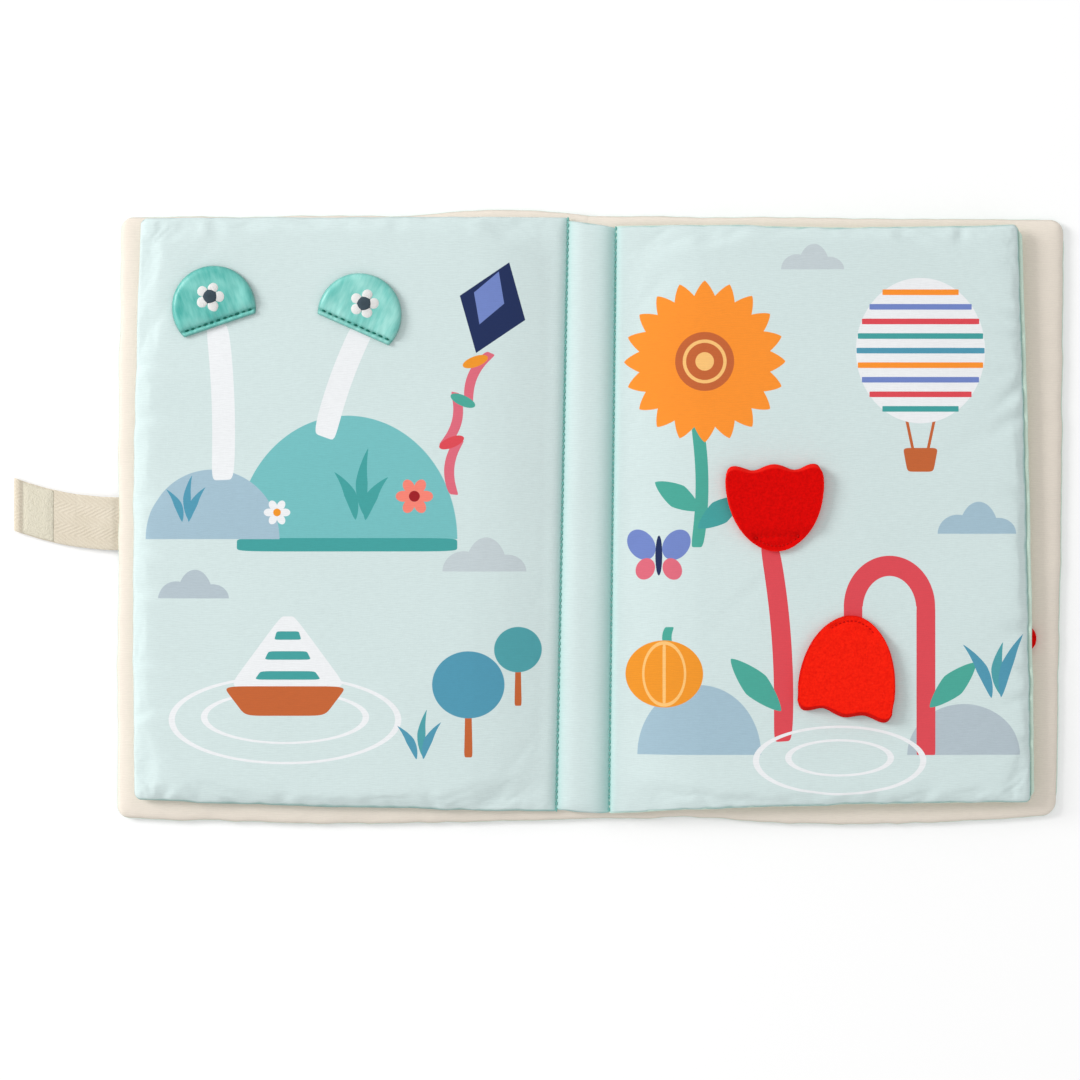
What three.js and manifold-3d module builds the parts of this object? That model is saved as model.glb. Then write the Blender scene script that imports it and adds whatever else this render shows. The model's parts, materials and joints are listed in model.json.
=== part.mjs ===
// A baby's activity book of padded cloth, lying open with its closing strap to the left.
// Millimetres, +Z up. The origin is the middle of the footprint, on the surface the book lies on.
// Each part that turns sits in a group whose origin is on its fold line.
import * as THREE from 'three';
import { mergeVertices } from 'three/addons/utils/BufferGeometryUtils.js';
import Module from 'manifold-3d';

const wasm = await Module();
wasm.setup();

// Driving dimensions: the book as a whole
const bookHeight = 227;
const leftCoverWidth = 165.6;
const rightCoverWidth = 168;
const gutterWidth = 19.7;

// Cloth, wadding and the room between layers
const clothThickness = 0.5;
const layerGap = 0.3;
const filmThickness = 0.2;
const hingeGap = 0.2;
const threadRadius = 0.45;
const threadGap = 0.2;
const cutOverrun = 1;

// Covers and spine
const coverThickness = 3.5;
const coverCorner = 4.5;
const coverEdge = 7;
const coverDrawIn = 0.7;
const spineEdge = 8;

// Leaves, the two padded pages that are stitched into the spine
const leafStitchRoom = 1.6;
const leafCorner = 4;
const hingeCorner = 1.5;
const leafEdge = 11;
const leafPinch = 14;
const leafDrawIn = 1.1;
const leafHeight = 219.6;
const leftLeafWidth = 159.2;
const leftLeafRise = 2;
const leftLeafThickness = 6;
const leftSeamHeight = 2.6;
const rightLeafWidth = 154.1;
const rightLeafRise = -0.2;
const rightLeafThickness = 7;
const rightSeamHeight = 4.2;
const gutterHeight = 222;
const gutterThickness = 3.2;
const gutterEdge = 6.5;
const gutterSeamHeight = 1.6;

// Stitch rows
const stitchPitch = 2.9;
const stitchDip = 0.3;

// Satin lift flaps on the left leaf: a round cut off along its stitched edge
const satinRadius = 15.6;
const satinThickness = 2.6;
const satinEdge = 3.5;
const satinPinch = 2.5;
const satinSeamHeight = 0.9;
const satinHem = 2.6;
const satinHemThickness = 1.2;
const satinStitchPitch = 2.4;
const satinThreadWidth = 0.5;
const satinThreadHeight = 0.4;
const satinAxisGap = 0.5;
const satinAxisRise = 2.5;

// Places on a leaf are shares of its width, from the fold out, and of half its height, upwards
const satinFlaps = [
  { name: 'left', outShare: 0.799, upShare: 0.649, turnDegrees: 18.8, centreShare: 0.4455 },
  { name: 'right', outShare: 0.4796, upShare: 0.6339, turnDegrees: -23.9, centreShare: 0.3782 },
];

// Embroidered flower on each satin flap
const petalRadius = 5.2;
const petalCount = 5;
const petalWave = 0.7;
const flowerFootRoom = 0.4;
const flowerCentreRadius = 2.1;
const embroideryThickness = 0.4;

// Felt lift flaps on the right leaf: round at the stitched end, three lobes at the free end
const feltThickness = 3;
const feltBevel = 0.4;
const feltRootThickness = 1.6;
const feltRootLength = 7;
const feltLobeDepth = 2.1;
const feltCornerDrop = 4;
const feltStitchInset = 2;
const feltStitchWidth = 0.6;
const feltStitchHeight = 0.4;
const upperFeltWidth = 36.4;
const upperFeltLength = 32.6;
const lowerFeltWidth = 36.3;
const lowerFeltLength = 40.1;
const feltFlaps = [
  {
    name: 'upper',
    outShare: 0.3942,
    upShare: -0.112,
    turnDegrees: 2.7,
    width: upperFeltWidth,
    length: upperFeltLength,
  },
  {
    name: 'lower',
    outShare: 0.5779,
    upShare: -0.3288,
    turnDegrees: 174,
    width: lowerFeltWidth,
    length: lowerFeltLength,
  },
];

// Felt tab under the fore edge of the right leaf
const tabWidth = 8.6;
const tabOut = 2.9;
const tabIn = 2.3;
const tabThickness = 1.5;
const tabHeight = -45;
const tabCorner = 3;

// Webbing strap with its hook patch, and the loop patch under the right cover
const strapWidth = 20;
const strapThickness = 1.4;
const strapRootInside = 10;
const strapTipLength = 9.65;
const strapHeight = -2.1;
const strapSideSweep = 7.2;
const strapClearance = 0.3;
const hookThickness = 0.8;
const hookMargin = 1;
const hookEndFold = 2.6;
const loopLength = 25;
const loopWidth = 22;
const loopThickness = 0.8;
const loopInset = 8;
const loopHeight = 4;

// Shares: ring places across an edge, curve shapes and sampling counts
const ringShares = [0, 0.06, 0.2, 0.5, 1];
const waddingShares = [0.2, 0.5, 1];
const plateauShares = [1];
const undersideShare = 0.5;
const sideShares = [0.25, 0.5, 0.75];
const feltSideShares = [0, 0.02, 0.08, 0.18, 0.32, 0.5, 0.72];
const feltWidestShare = 0.78;
const feltLobeShare = 0.42;
const feltCornerPower = 8;
const cornerSegments = 3;
const domeSegments = 22;
const petalSegments = 6;
const centreSegments = 12;
const feltEndSegments = 18;
const strapSegments = 5;

// Levels and lines that the sizes above give
const axisZ = coverThickness + threadGap + threadRadius;
const leafBottom = coverThickness + layerGap - axisZ;
const pinchSeam = clothThickness + layerGap / 2;
const coverTop = coverThickness - axisZ;
const coverBottom = -axisZ;
const coverSeam = coverBottom + coverThickness / 2;
const strapTop = coverSeam + strapThickness / 2;

// The strap bends up past the wider cover, runs over the closed book and then folds onto the other cover
const strapBend = Math.max(rightCoverWidth - leftCoverWidth, 0) + strapClearance;
const strapRun = gutterWidth + axisZ - strapTop + layerGap + hookThickness;
const strapReach = strapBend + strapRun + strapTipLength;
const bookWidth = strapReach + leftCoverWidth + gutterWidth + rightCoverWidth;
const leftCoverX = strapReach - bookWidth / 2;
const leftStitchX = leftCoverX + leftCoverWidth;
const rightStitchX = leftStitchX + gutterWidth;
const spineX = (leftStitchX + rightStitchX) / 2;

// Finishes, as the photograph shows them
const creamCotton = { color: 0xeee4d6, roughness: 0.92, metalness: 0 };
const aquaCotton = { color: 0xd5e6e4, roughness: 0.9, metalness: 0 };
const greenCotton = { color: 0xb9dcc4, roughness: 0.9, metalness: 0 };
const wadding = { color: 0xf6f6f4, roughness: 1, metalness: 0 };
const film = { color: 0xdfe6ea, roughness: 0.3, metalness: 0 };
const tealThread = { color: 0x2f6f6c, roughness: 0.7, metalness: 0 };
const tealSatin = { color: 0x58c0ae, roughness: 0.35, metalness: 0 };
const whiteThread = { color: 0xf0eeea, roughness: 0.6, metalness: 0 };
const charcoalThread = { color: 0x46525c, roughness: 0.6, metalness: 0 };
const redFelt = { color: 0xe8170e, roughness: 1, metalness: 0 };
const redThread = { color: 0xc01008, roughness: 0.8, metalness: 0 };
const creamWebbing = { color: 0xe2d6bf, roughness: 0.95, metalness: 0 };
const hookTape = { color: 0xd9d3bf, roughness: 0.8, metalness: 0 };

// Scene helpers
function solid(name, geometry, finish) {
  const mesh = new THREE.Mesh(geometry, new THREE.MeshStandardMaterial(finish));
  mesh.name = name;
  return mesh;
}

function pivot(x, y, z, turnDegrees = 0) {
  const group = new THREE.Group();
  group.position.set(x, y, z);
  group.rotation.z = THREE.MathUtils.degToRad(turnDegrees);
  return group;
}

// Closed meshes to solids and back, for cuts
function toManifold(geometry) {
  const bare = geometry.clone();
  bare.deleteAttribute('normal');
  bare.deleteAttribute('uv');
  const merged = mergeVertices(bare);
  const vertProperties = new Float32Array(merged.attributes.position.array);
  const triVerts = new Uint32Array(merged.index.array);
  return new wasm.Manifold(new wasm.Mesh({ numProp: 3, vertProperties, triVerts }));
}

function toGeometry(manifold) {
  const mesh = manifold.getMesh();
  const geometry = new THREE.BufferGeometry();
  geometry.setAttribute('position', new THREE.BufferAttribute(new Float32Array(mesh.vertProperties), 3));
  geometry.setIndex(new THREE.BufferAttribute(new Uint32Array(mesh.triVerts), 1));
  geometry.computeVertexNormals();
  return geometry;
}

function cut(geometry, ...tools) {
  return toGeometry(tools.reduce((rest, tool) => rest.subtract(toManifold(tool)), toManifold(geometry)));
}

function join(geometry, other) {
  return toGeometry(toManifold(geometry).add(toManifold(other)));
}

function block(low, high) {
  const size = high.map((value, axis) => value - low[axis]);
  const geometry = new THREE.BoxGeometry(...size);
  geometry.translate(...low.map((value, axis) => value + size[axis] / 2));
  return geometry;
}

// Edge curves: 0 at the rim, 1 where a panel has its full height
const roundEdge = (share) => Math.sqrt(1 - (1 - Math.min(share, 1)) ** 2);
const softEdge = (share) => 1 - (1 - Math.min(share, 1)) ** 2;
const liftedEdge = (share) => Math.min(share, 1);
const mix = (from, to, share) => from + (to - from) * share;
const bowShare = (along) => 1 - (2 * along - 1) ** 2;

// A sewn panel lies between two sides in X and its foot and head in Y. A side at a fold line is
// pinched down to the stitches over its own edge width; the other sides are drawn in between corners.
// The seam height is where its upper and lower cloth meet along the rim.
function ringPoints(panel, share) {
  const left = panel.left.x + panel.left.edge * share;
  const right = panel.right.x - panel.right.edge * share;
  const foot = panel.foot + panel.edge * share;
  const head = panel.head - panel.edge * share;
  const corners = [
    { x: right, y: foot, side: panel.right, inX: -1, inY: 1, turn: -Math.PI / 2 },
    { x: right, y: head, side: panel.right, inX: -1, inY: -1, turn: 0 },
    { x: left, y: head, side: panel.left, inX: 1, inY: -1, turn: Math.PI / 2 },
    { x: left, y: foot, side: panel.left, inX: 1, inY: 1, turn: Math.PI },
  ];
  const arcs = corners.map((corner) => {
    const radius = corner.side.corner;
    const arc = [];
    for (let step = 0; step <= cornerSegments; step += 1) {
      const angle = corner.turn + (step / cornerSegments) * (Math.PI / 2);
      arc.push([
        corner.x + corner.inX * radius + radius * Math.cos(angle),
        corner.y + corner.inY * radius + radius * Math.sin(angle),
      ]);
    }
    return arc;
  });
  const inward = [[-1, 0], [0, -1], [1, 0], [0, 1]];
  const drawIns = [panel.right.drawIn, panel.drawIn, panel.left.drawIn, panel.drawIn];
  const points = [];
  arcs.forEach((arc, index) => {
    points.push(...arc);
    const start = arc[arc.length - 1];
    const end = arcs[(index + 1) % arcs.length][0];
    const [inX, inY] = inward[index];
    for (const along of sideShares) {
      const bow = drawIns[index] * bowShare(along);
      points.push([
        mix(start[0], end[0], along) + inX * bow,
        mix(start[1], end[1], along) + inY * bow,
      ]);
    }
  });
  return points.map(([x, y]) => ({ x, y, fold: foldShare(panel, x) }));
}

// How far a point belongs to a pinched side: 1 at the fold line, 0 past the pinch
function foldShare(panel, x) {
  const nearLeft = panel.left.folds ? 1 - (x - panel.left.x) / panel.left.edge : 0;
  const nearRight = panel.right.folds ? 1 - (panel.right.x - x) / panel.right.edge : 0;
  return THREE.MathUtils.clamp(Math.max(nearLeft, nearRight), 0, 1);
}

function topOf(panel, point, share) {
  const rim = mix(panel.seam, panel.foldSeam, point.fold) + pinchSeam;
  return mix(rim, panel.top, mix(roundEdge(share), softEdge(share), point.fold));
}

function undersideOf(panel, point, share) {
  const rim = mix(panel.seam, panel.foldSeam, point.fold) - pinchSeam;
  return mix(rim, panel.bottom, panel.underCurve(share / panel.underShare));
}

// A closed layer between two height functions over a set of rings, outermost first
function closedLayer(rings, lower, upper) {
  const count = rings[0].points.length;
  const under = rings.length * count;
  const positions = [];
  for (const height of [upper, lower]) {
    for (const { share, points } of rings) {
      points.forEach((point) => positions.push(point.x, point.y, height(point, share)));
    }
  }
  const index = [];
  const bothSides = (a, b, c) => index.push(a, b, c, under + c, under + b, under + a);
  for (let here = 0; here < count; here += 1) {
    const next = (here + 1) % count;
    for (let outer = 0; outer + count < under; outer += count) {
      const inner = outer + count;
      bothSides(outer + here, outer + next, inner + next);
      bothSides(outer + here, inner + next, inner + here);
    }
    index.push(here, under + here, under + next, here, under + next, next);
  }
  const last = under - count;
  const middle = rings[rings.length - 1].points.map(({ x, y }) => new THREE.Vector2(x, y));
  for (const [a, b, c] of THREE.ShapeUtils.triangulateShape(middle, [])) {
    bothSides(last + a, last + b, last + c);
  }
  const geometry = new THREE.BufferGeometry();
  geometry.setAttribute('position', new THREE.Float32BufferAttribute(positions, 3));
  geometry.setIndex(index);
  geometry.computeVertexNormals();
  return geometry;
}

function layer(panel, shares, lower, upper) {
  const rings = shares.map((share) => ({ share, points: ringPoints(panel, share) }));
  return closedLayer(rings, lower, upper);
}

function upperCloth(panel) {
  const top = (point, share) => topOf(panel, point, share);
  return layer(panel, ringShares, (point, share) => top(point, share) - clothThickness, top);
}

function lowerCloth(panel) {
  const under = (point, share) => undersideOf(panel, point, share);
  return layer(panel, ringShares, under, (point, share) => under(point, share) + clothThickness);
}

// Wadding fills a panel between its cloths, less the room for what else lies inside
function fill(panel, roomAbove = 0) {
  const inset = clothThickness + layerGap;
  const lower = (point, share) => undersideOf(panel, point, share) + inset;
  const upper = (point, share) => topOf(panel, point, share) - inset - roomAbove;
  return layer(panel, waddingShares, lower, upper);
}

function crinkleFilm(panel) {
  const top = panel.top - clothThickness - layerGap;
  return layer(panel, plateauShares, () => top - filmThickness, () => top);
}

// Sides of a panel
function foldSide(x, edge) {
  return { x, edge, corner: hingeCorner, drawIn: 0, folds: true };
}

function openSide(x, edge, corner, drawIn) {
  return { x, edge, corner, drawIn, folds: false };
}

// A row of stitches along Y: a flat thread with a dip between each stitch and the next
function stitchRow(length, pitch, width, height, dip) {
  const count = Math.round(length / pitch);
  const step = length / count;
  const shape = new THREE.Shape();
  shape.moveTo(0, 0);
  shape.lineTo(length, 0);
  for (let stitch = count - 1; stitch >= 0; stitch -= 1) {
    shape.lineTo((stitch + 1) * step, height - dip);
    shape.lineTo((stitch + 1 / 2) * step, height);
  }
  shape.lineTo(0, height - dip);
  const geometry = new THREE.ExtrudeGeometry(shape, { depth: width, bevelEnabled: false });
  geometry.translate(-length / 2, 0, -width / 2);
  geometry.rotateX(Math.PI / 2);
  return geometry;
}

// Covers and spine: cream cloth outside and inside, with wadding between
function coverPanel(left, right) {
  return {
    left,
    right,
    foot: -bookHeight / 2,
    head: bookHeight / 2,
    edge: coverEdge,
    drawIn: coverDrawIn,
    seam: coverSeam,
    foldSeam: coverTop - pinchSeam,
    top: coverTop,
    bottom: coverBottom,
    underCurve: roundEdge,
    underShare: undersideShare,
  };
}

function leafPanel(left, right, shape) {
  return {
    left,
    right,
    foot: shape.rise - leafHeight / 2,
    head: shape.rise + leafHeight / 2,
    edge: leafEdge,
    drawIn: leafDrawIn,
    seam: leafBottom + shape.seamHeight,
    foldSeam: leafBottom + pinchSeam,
    top: leafBottom + shape.thickness,
    bottom: leafBottom,
    underCurve: shape.underCurve,
    underShare: shape.underShare,
  };
}

function buildSpine() {
  const group = pivot(spineX, 0, axisZ);
  const half = gutterWidth / 2;
  const spine = coverPanel(foldSide(hingeGap - half, spineEdge), foldSide(half - hingeGap, spineEdge));
  group.add(solid('spine_outer_cloth', lowerCloth(spine), greenCotton));
  group.add(solid('spine_wadding', fill(spine), wadding));
  group.add(solid('spine_lining', upperCloth(spine), creamCotton));

  const gutter = {
    ...spine,
    left: foldSide(leafStitchRoom - half, gutterEdge),
    right: foldSide(half - leafStitchRoom, gutterEdge),
    foot: leftLeafRise / 2 - gutterHeight / 2,
    head: leftLeafRise / 2 + gutterHeight / 2,
    edge: gutterEdge,
    drawIn: 0,
    seam: leafBottom + gutterSeamHeight,
    foldSeam: leafBottom + pinchSeam,
    top: leafBottom + gutterThickness,
    bottom: leafBottom,
  };
  group.add(solid('gutter_back_cloth', lowerCloth(gutter), aquaCotton));
  group.add(solid('gutter_wadding', fill(gutter), wadding));
  group.add(solid('gutter_front_cloth', upperCloth(gutter), aquaCotton));

  const rows = [
    { name: 'left_spine_stitching', x: -half },
    { name: 'right_spine_stitching', x: half },
  ];
  for (const row of rows) {
    const thread = stitchRow(leafHeight, stitchPitch, 2 * threadRadius, 2 * threadRadius, stitchDip);
    thread.rotateZ(Math.PI / 2);
    thread.translate(row.x, leftLeafRise / 2, -threadRadius);
    group.add(solid(row.name, thread, tealThread));
  }
  return group;
}

// Webbing seen from above: it sweeps to one side as it runs out from the cover, by a parabola
function strapOffset(run) {
  return strapSideSweep * (run / strapReach) ** 2;
}

function strapPiece(from, to, width, thickness) {
  const shape = new THREE.Shape();
  const edge = (share, side) => {
    const run = mix(from, to, share);
    return [-run, strapOffset(run) + (side * width) / 2];
  };
  shape.moveTo(...edge(0, -1));
  for (let step = 0; step <= strapSegments; step += 1) {
    shape.lineTo(...edge(step / strapSegments, 1));
  }
  for (let step = strapSegments; step > 0; step -= 1) {
    shape.lineTo(...edge(step / strapSegments, -1));
  }
  return new THREE.ExtrudeGeometry(shape, { depth: thickness, bevelEnabled: false });
}

function buildStrap() {
  const group = pivot(-leftCoverWidth - strapBend, strapHeight, strapTop);
  const tipFold = strapBend + strapRun;
  const webbing = strapPiece(strapBend + hingeGap, tipFold - hingeGap, strapWidth, strapThickness);
  webbing.translate(strapBend, 0, -strapThickness);
  group.add(solid('strap_webbing', webbing, creamWebbing));

  const tip = pivot(-strapRun, 0, 0);
  const tipStart = tipFold + hingeGap;
  const end = strapPiece(tipStart, strapReach, strapWidth, strapThickness);
  end.translate(tipFold, 0, -strapThickness);
  tip.add(solid('strap_end', end, creamWebbing));
  const hookEnd = strapReach - hookEndFold;
  const hooks = strapPiece(tipStart, hookEnd, strapWidth - 2 * hookMargin, hookThickness);
  hooks.translate(tipFold, 0, 0);
  tip.add(solid('strap_hook_patch', hooks, hookTape));
  group.add(tip);
  return group;
}

function buildLeftCover() {
  const group = pivot(leftStitchX, 0, axisZ);
  const fore = openSide(-leftCoverWidth, coverEdge, coverCorner, coverDrawIn);
  const panel = coverPanel(fore, foldSide(-hingeGap, spineEdge));

  // The strap's root is caught between the cover's two cloths, which open round it
  const root = strapPiece(-strapRootInside, strapBend - hingeGap, strapWidth, strapThickness);
  root.translate(-leftCoverWidth, strapHeight, strapTop - strapThickness);
  const rootWidth = strapWidth / 2 + layerGap;
  const offset = strapOffset(strapRootInside);
  const room = block(
    [-leftCoverWidth - cutOverrun, strapHeight - rootWidth, strapTop - strapThickness - layerGap / 2],
    [strapRootInside + layerGap - leftCoverWidth, strapHeight + rootWidth + offset, strapTop + layerGap / 2],
  );
  group.add(solid('left_cover_outer_cloth', cut(lowerCloth(panel), room), greenCotton));
  group.add(solid('left_cover_wadding', cut(fill(panel), room), wadding));
  group.add(solid('left_cover_lining', cut(upperCloth(panel), room), creamCotton));
  group.add(solid('strap_root', root, creamWebbing));
  group.add(buildStrap());
  group.add(buildLeftLeaf());
  return group;
}

function buildRightCover() {
  const group = pivot(rightStitchX, 0, axisZ);
  const fore = openSide(rightCoverWidth, coverEdge, coverCorner, coverDrawIn);
  const panel = coverPanel(foldSide(hingeGap, spineEdge), fore);

  // The loop patch is sewn under the cover, flush, with the cloth pressed in behind it
  const low = [rightCoverWidth - loopInset - loopLength, loopHeight - loopWidth / 2, coverBottom];
  const high = [rightCoverWidth - loopInset, loopHeight + loopWidth / 2, coverBottom + loopThickness];
  const grown = (room, base, top) => block(
    [low[0] - room, low[1] - room, base],
    [high[0] + room, high[1] + room, top],
  );
  const dentTop = high[2] + layerGap;
  const trayRoom = layerGap + clothThickness;
  const tray = grown(trayRoom, coverBottom + clothThickness / 2, dentTop + clothThickness);
  const dent = grown(layerGap, coverBottom - cutOverrun, dentTop);
  const trayHollow = grown(trayRoom + layerGap, coverBottom, dentTop + clothThickness + layerGap);
  group.add(solid('right_cover_outer_cloth', cut(join(lowerCloth(panel), tray), dent), greenCotton));
  group.add(solid('right_cover_wadding', cut(fill(panel), trayHollow), wadding));
  group.add(solid('right_cover_lining', upperCloth(panel), creamCotton));
  group.add(solid('loop_patch', block(low, high), hookTape));
  group.add(buildRightLeaf());
  return group;
}

// A leaf's layers: back cloth, wadding, crinkle film and the printed front cloth
function addLeafLayers(group, name, panel, backFinish) {
  group.add(solid(`${name}_back_cloth`, lowerCloth(panel), backFinish));
  group.add(solid(`${name}_wadding`, fill(panel, filmThickness + layerGap), wadding));
  group.add(solid(`${name}_crinkle_film`, crinkleFilm(panel), film));
  group.add(solid(`${name}_front_cloth`, upperCloth(panel), aquaCotton));
}

function placeY(panel, flap) {
  const middle = (panel.foot + panel.head) / 2;
  return middle + flap.upShare * (panel.head - middle);
}

function buildLeftLeaf() {
  const group = pivot(0, 0, 0);
  const fore = openSide(-leftLeafWidth, leafEdge, leafCorner, leafDrawIn);
  const fold = foldSide(-leafStitchRoom, leafPinch);
  const panel = leafPanel(fore, fold, {
    rise: leftLeafRise,
    thickness: leftLeafThickness,
    seamHeight: leftSeamHeight,
    underCurve: roundEdge,
    underShare: undersideShare,
  });
  addLeafLayers(group, 'left_leaf', panel, aquaCotton);
  for (const flap of satinFlaps) {
    const x = -flap.outShare * leftLeafWidth;
    group.add(buildSatinFlap(flap, x, placeY(panel, flap), panel.top));
  }
  return group;
}

function buildRightLeaf() {
  const group = pivot(0, 0, 0);
  const fore = openSide(rightLeafWidth, leafEdge, leafCorner, leafDrawIn);
  const fold = foldSide(leafStitchRoom, leafPinch);
  const panel = leafPanel(fold, fore, {
    rise: rightLeafRise,
    thickness: rightLeafThickness,
    seamHeight: rightSeamHeight,
    underCurve: liftedEdge,
    underShare: 1,
  });
  addLeafLayers(group, 'right_leaf', panel, greenCotton);
  group.add(solid('right_leaf_felt_tab', feltTab(panel), redFelt));
  for (const flap of feltFlaps) {
    const x = flap.outShare * rightLeafWidth;
    group.add(buildFeltFlap(flap, x, placeY(panel, flap), panel.top));
  }
  return group;
}

// The tab is sewn against the lifted underside of the leaf's fore edge
function feltTab(panel) {
  const inner = rightLeafWidth - leafDrawIn - tabIn;
  const outer = rightLeafWidth - leafDrawIn + tabOut;
  const shape = new THREE.Shape();
  shape.moveTo(inner, -tabWidth / 2);
  shape.lineTo(outer - tabCorner, -tabWidth / 2);
  shape.quadraticCurveTo(outer, -tabWidth / 2, outer, 0);
  shape.quadraticCurveTo(outer, tabWidth / 2, outer - tabCorner, tabWidth / 2);
  shape.lineTo(inner, tabWidth / 2);
  const options = { depth: tabThickness, bevelEnabled: false, curveSegments: cornerSegments };
  const geometry = new THREE.ExtrudeGeometry(shape, options);
  const under = undersideOf(panel, { fold: 0 }, (tabIn + leafDrawIn) / leafEdge);
  geometry.translate(0, tabHeight, under - layerGap - tabThickness);
  return geometry;
}

// Satin flap: two cloths and thin wadding, a round cut off by the chord that is stitched down.
// Its group stands on the fold line, with Y running from the fold to the round end.
function domeRing(centreY, start, share) {
  const inset = satinEdge * share;
  const base = start + satinPinch * share;
  const rim = satinRadius - inset;
  const half = Math.asin(THREE.MathUtils.clamp((base - centreY) / rim, -1, 1));
  const points = [];
  for (let step = 0; step <= domeSegments; step += 1) {
    const angle = mix(half, Math.PI - half, step / domeSegments);
    points.push({ x: rim * Math.cos(angle), y: centreY + rim * Math.sin(angle) - satinAxisGap });
  }
  return { share, points };
}

function flowerShape() {
  const shape = new THREE.Shape();
  const steps = petalCount * petalSegments;
  for (let step = 0; step < steps; step += 1) {
    const angle = (step / steps) * 2 * Math.PI;
    const radius = petalRadius - petalWave * (1 - Math.cos(petalCount * angle));
    const point = [radius * Math.cos(angle), radius * Math.sin(angle)];
    if (step === 0) {
      shape.moveTo(...point);
    } else {
      shape.lineTo(...point);
    }
  }
  shape.closePath();
  return shape;
}

function buildSatinFlap(flap, x, y, leafTop) {
  const name = `satin_flap_${flap.name}`;
  const seat = leafTop + layerGap;
  const lift = leafTop + satinAxisRise;
  const fixed = pivot(x, y, 0, flap.turnDegrees);
  const centreOffset = flap.centreShare * satinRadius;
  const centreY = centreOffset - satinHem;

  // The hem and its stitches stay on the leaf
  const chord = Math.sqrt(satinRadius ** 2 - centreOffset ** 2);
  const hem = block([-chord, -satinHem, seat], [chord, threadRadius, seat + satinHemThickness]);
  fixed.add(solid(`${name}_hem`, hem, tealSatin));
  const rowLength = 2 * (chord - satinThreadWidth);
  const rowDip = satinThreadHeight / 2;
  const row = stitchRow(rowLength, satinStitchPitch, satinThreadWidth, satinThreadHeight, rowDip);
  row.translate(0, 0, seat + satinHemThickness + layerGap / 2);
  fixed.add(solid(`${name}_stitching`, row, tealThread));

  // The flap turns about a line at its upper face, just past the stitches
  const moving = pivot(0, satinAxisGap, lift);
  const start = threadRadius + layerGap;
  const rings = ringShares.map((share) => domeRing(centreY, start, share));
  const seam = seat + satinSeamHeight;
  const topLevel = (share) => mix(seam + pinchSeam, seat + satinThickness, roundEdge(share)) - lift;
  const underLevel = (share) => mix(seam - pinchSeam, seat, roundEdge(share)) - lift;
  const below = (depth) => (point, share) => topLevel(share) - depth;
  const above = (depth) => (point, share) => underLevel(share) + depth;
  const inset = clothThickness + layerGap;
  const coreRings = rings.filter(({ share }) => share >= undersideShare);
  moving.add(solid(`${name}_back`, closedLayer(rings, above(0), above(clothThickness)), tealSatin));
  moving.add(solid(`${name}_wadding`, closedLayer(coreRings, above(inset), below(inset)), wadding));
  moving.add(solid(`${name}_face`, closedLayer(rings, below(clothThickness), below(0)), tealSatin));

  // The flower is embroidered on the face, above the pinched edge
  const flowerY = start + satinPinch + flowerFootRoom + petalRadius - satinAxisGap;
  const sewn = { depth: embroideryThickness, bevelEnabled: false };
  const petals = new THREE.ExtrudeGeometry(flowerShape(), sewn);
  petals.translate(0, flowerY, topLevel(1) + layerGap / 2);
  moving.add(solid(`${name}_petals`, petals, whiteThread));
  const sizes = [flowerCentreRadius, flowerCentreRadius, embroideryThickness, centreSegments];
  const centre = new THREE.CylinderGeometry(...sizes);
  centre.rotateX(Math.PI / 2);
  centre.translate(0, flowerY, topLevel(1) + layerGap + embroideryThickness + embroideryThickness / 2);
  moving.add(solid(`${name}_flower_centre`, centre, charcoalThread));
  fixed.add(moving);
  return fixed;
}

// Felt flap: one cut of thick felt, stitched down along its round narrow end
function feltHalfWidth(flap, y) {
  return (flap.width / 2) * roundEdge(y / (feltWidestShare * flap.length));
}

function feltShape(flap, from, to) {
  const side = feltSideShares.map((share) => mix(from, Math.min(to, feltWidestShare * flap.length), share));
  const points = side.map((y) => [feltHalfWidth(flap, y), y]);
  if (to < flap.length) {
    points.push([feltHalfWidth(flap, to), to], [-feltHalfWidth(flap, to), to]);
  } else {
    for (let step = 0; step <= feltEndSegments; step += 1) {
      const across = 1 - (2 * step) / feltEndSegments;
      const x = (across * flap.width) / 2;
      const wave = 1 - Math.cos((2 * Math.PI * x) / (feltLobeShare * flap.width));
      const drop = feltCornerDrop * Math.abs(across) ** feltCornerPower;
      points.push([x, flap.length - (feltLobeDepth * wave) / 2 - drop]);
    }
  }
  points.push(...side.map((y) => [-feltHalfWidth(flap, y), y]).reverse());
  const unique = points.filter(([x, y], index) => {
    const [beforeX, beforeY] = points[(index + points.length - 1) % points.length];
    return Math.hypot(x - beforeX, y - beforeY) > layerGap / 2;
  });
  return new THREE.Shape(unique.map(([x, y]) => new THREE.Vector2(x, y)));
}

function feltSolid(shape, thickness) {
  const bevel = {
    bevelEnabled: true,
    bevelThickness: feltBevel,
    bevelSize: feltBevel,
    bevelOffset: -feltBevel,
    bevelSegments: 1,
  };
  const geometry = new THREE.ExtrudeGeometry(shape, { depth: thickness - 2 * feltBevel, ...bevel });
  geometry.translate(0, 0, feltBevel);
  return geometry;
}

function feltStitches(flap) {
  const outer = [];
  const inner = [];
  for (const share of feltSideShares) {
    const y = mix(feltStitchInset, feltRootLength - feltStitchInset, share);
    const half = feltHalfWidth(flap, y - feltStitchInset / 2) - feltStitchInset;
    if (half > feltStitchWidth) {
      outer.push([half, y]);
      inner.push([half - feltStitchWidth, y + feltStitchWidth / 2]);
    }
  }
  const mirrored = (points) => points.map(([x, y]) => [-x, y]);
  const path = [
    ...mirrored(outer).reverse(),
    ...outer,
    ...inner.slice().reverse(),
    ...mirrored(inner),
  ];
  const shape = new THREE.Shape(path.map(([x, y]) => new THREE.Vector2(x, y)));
  return new THREE.ExtrudeGeometry(shape, { depth: feltStitchHeight, bevelEnabled: false });
}

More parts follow.
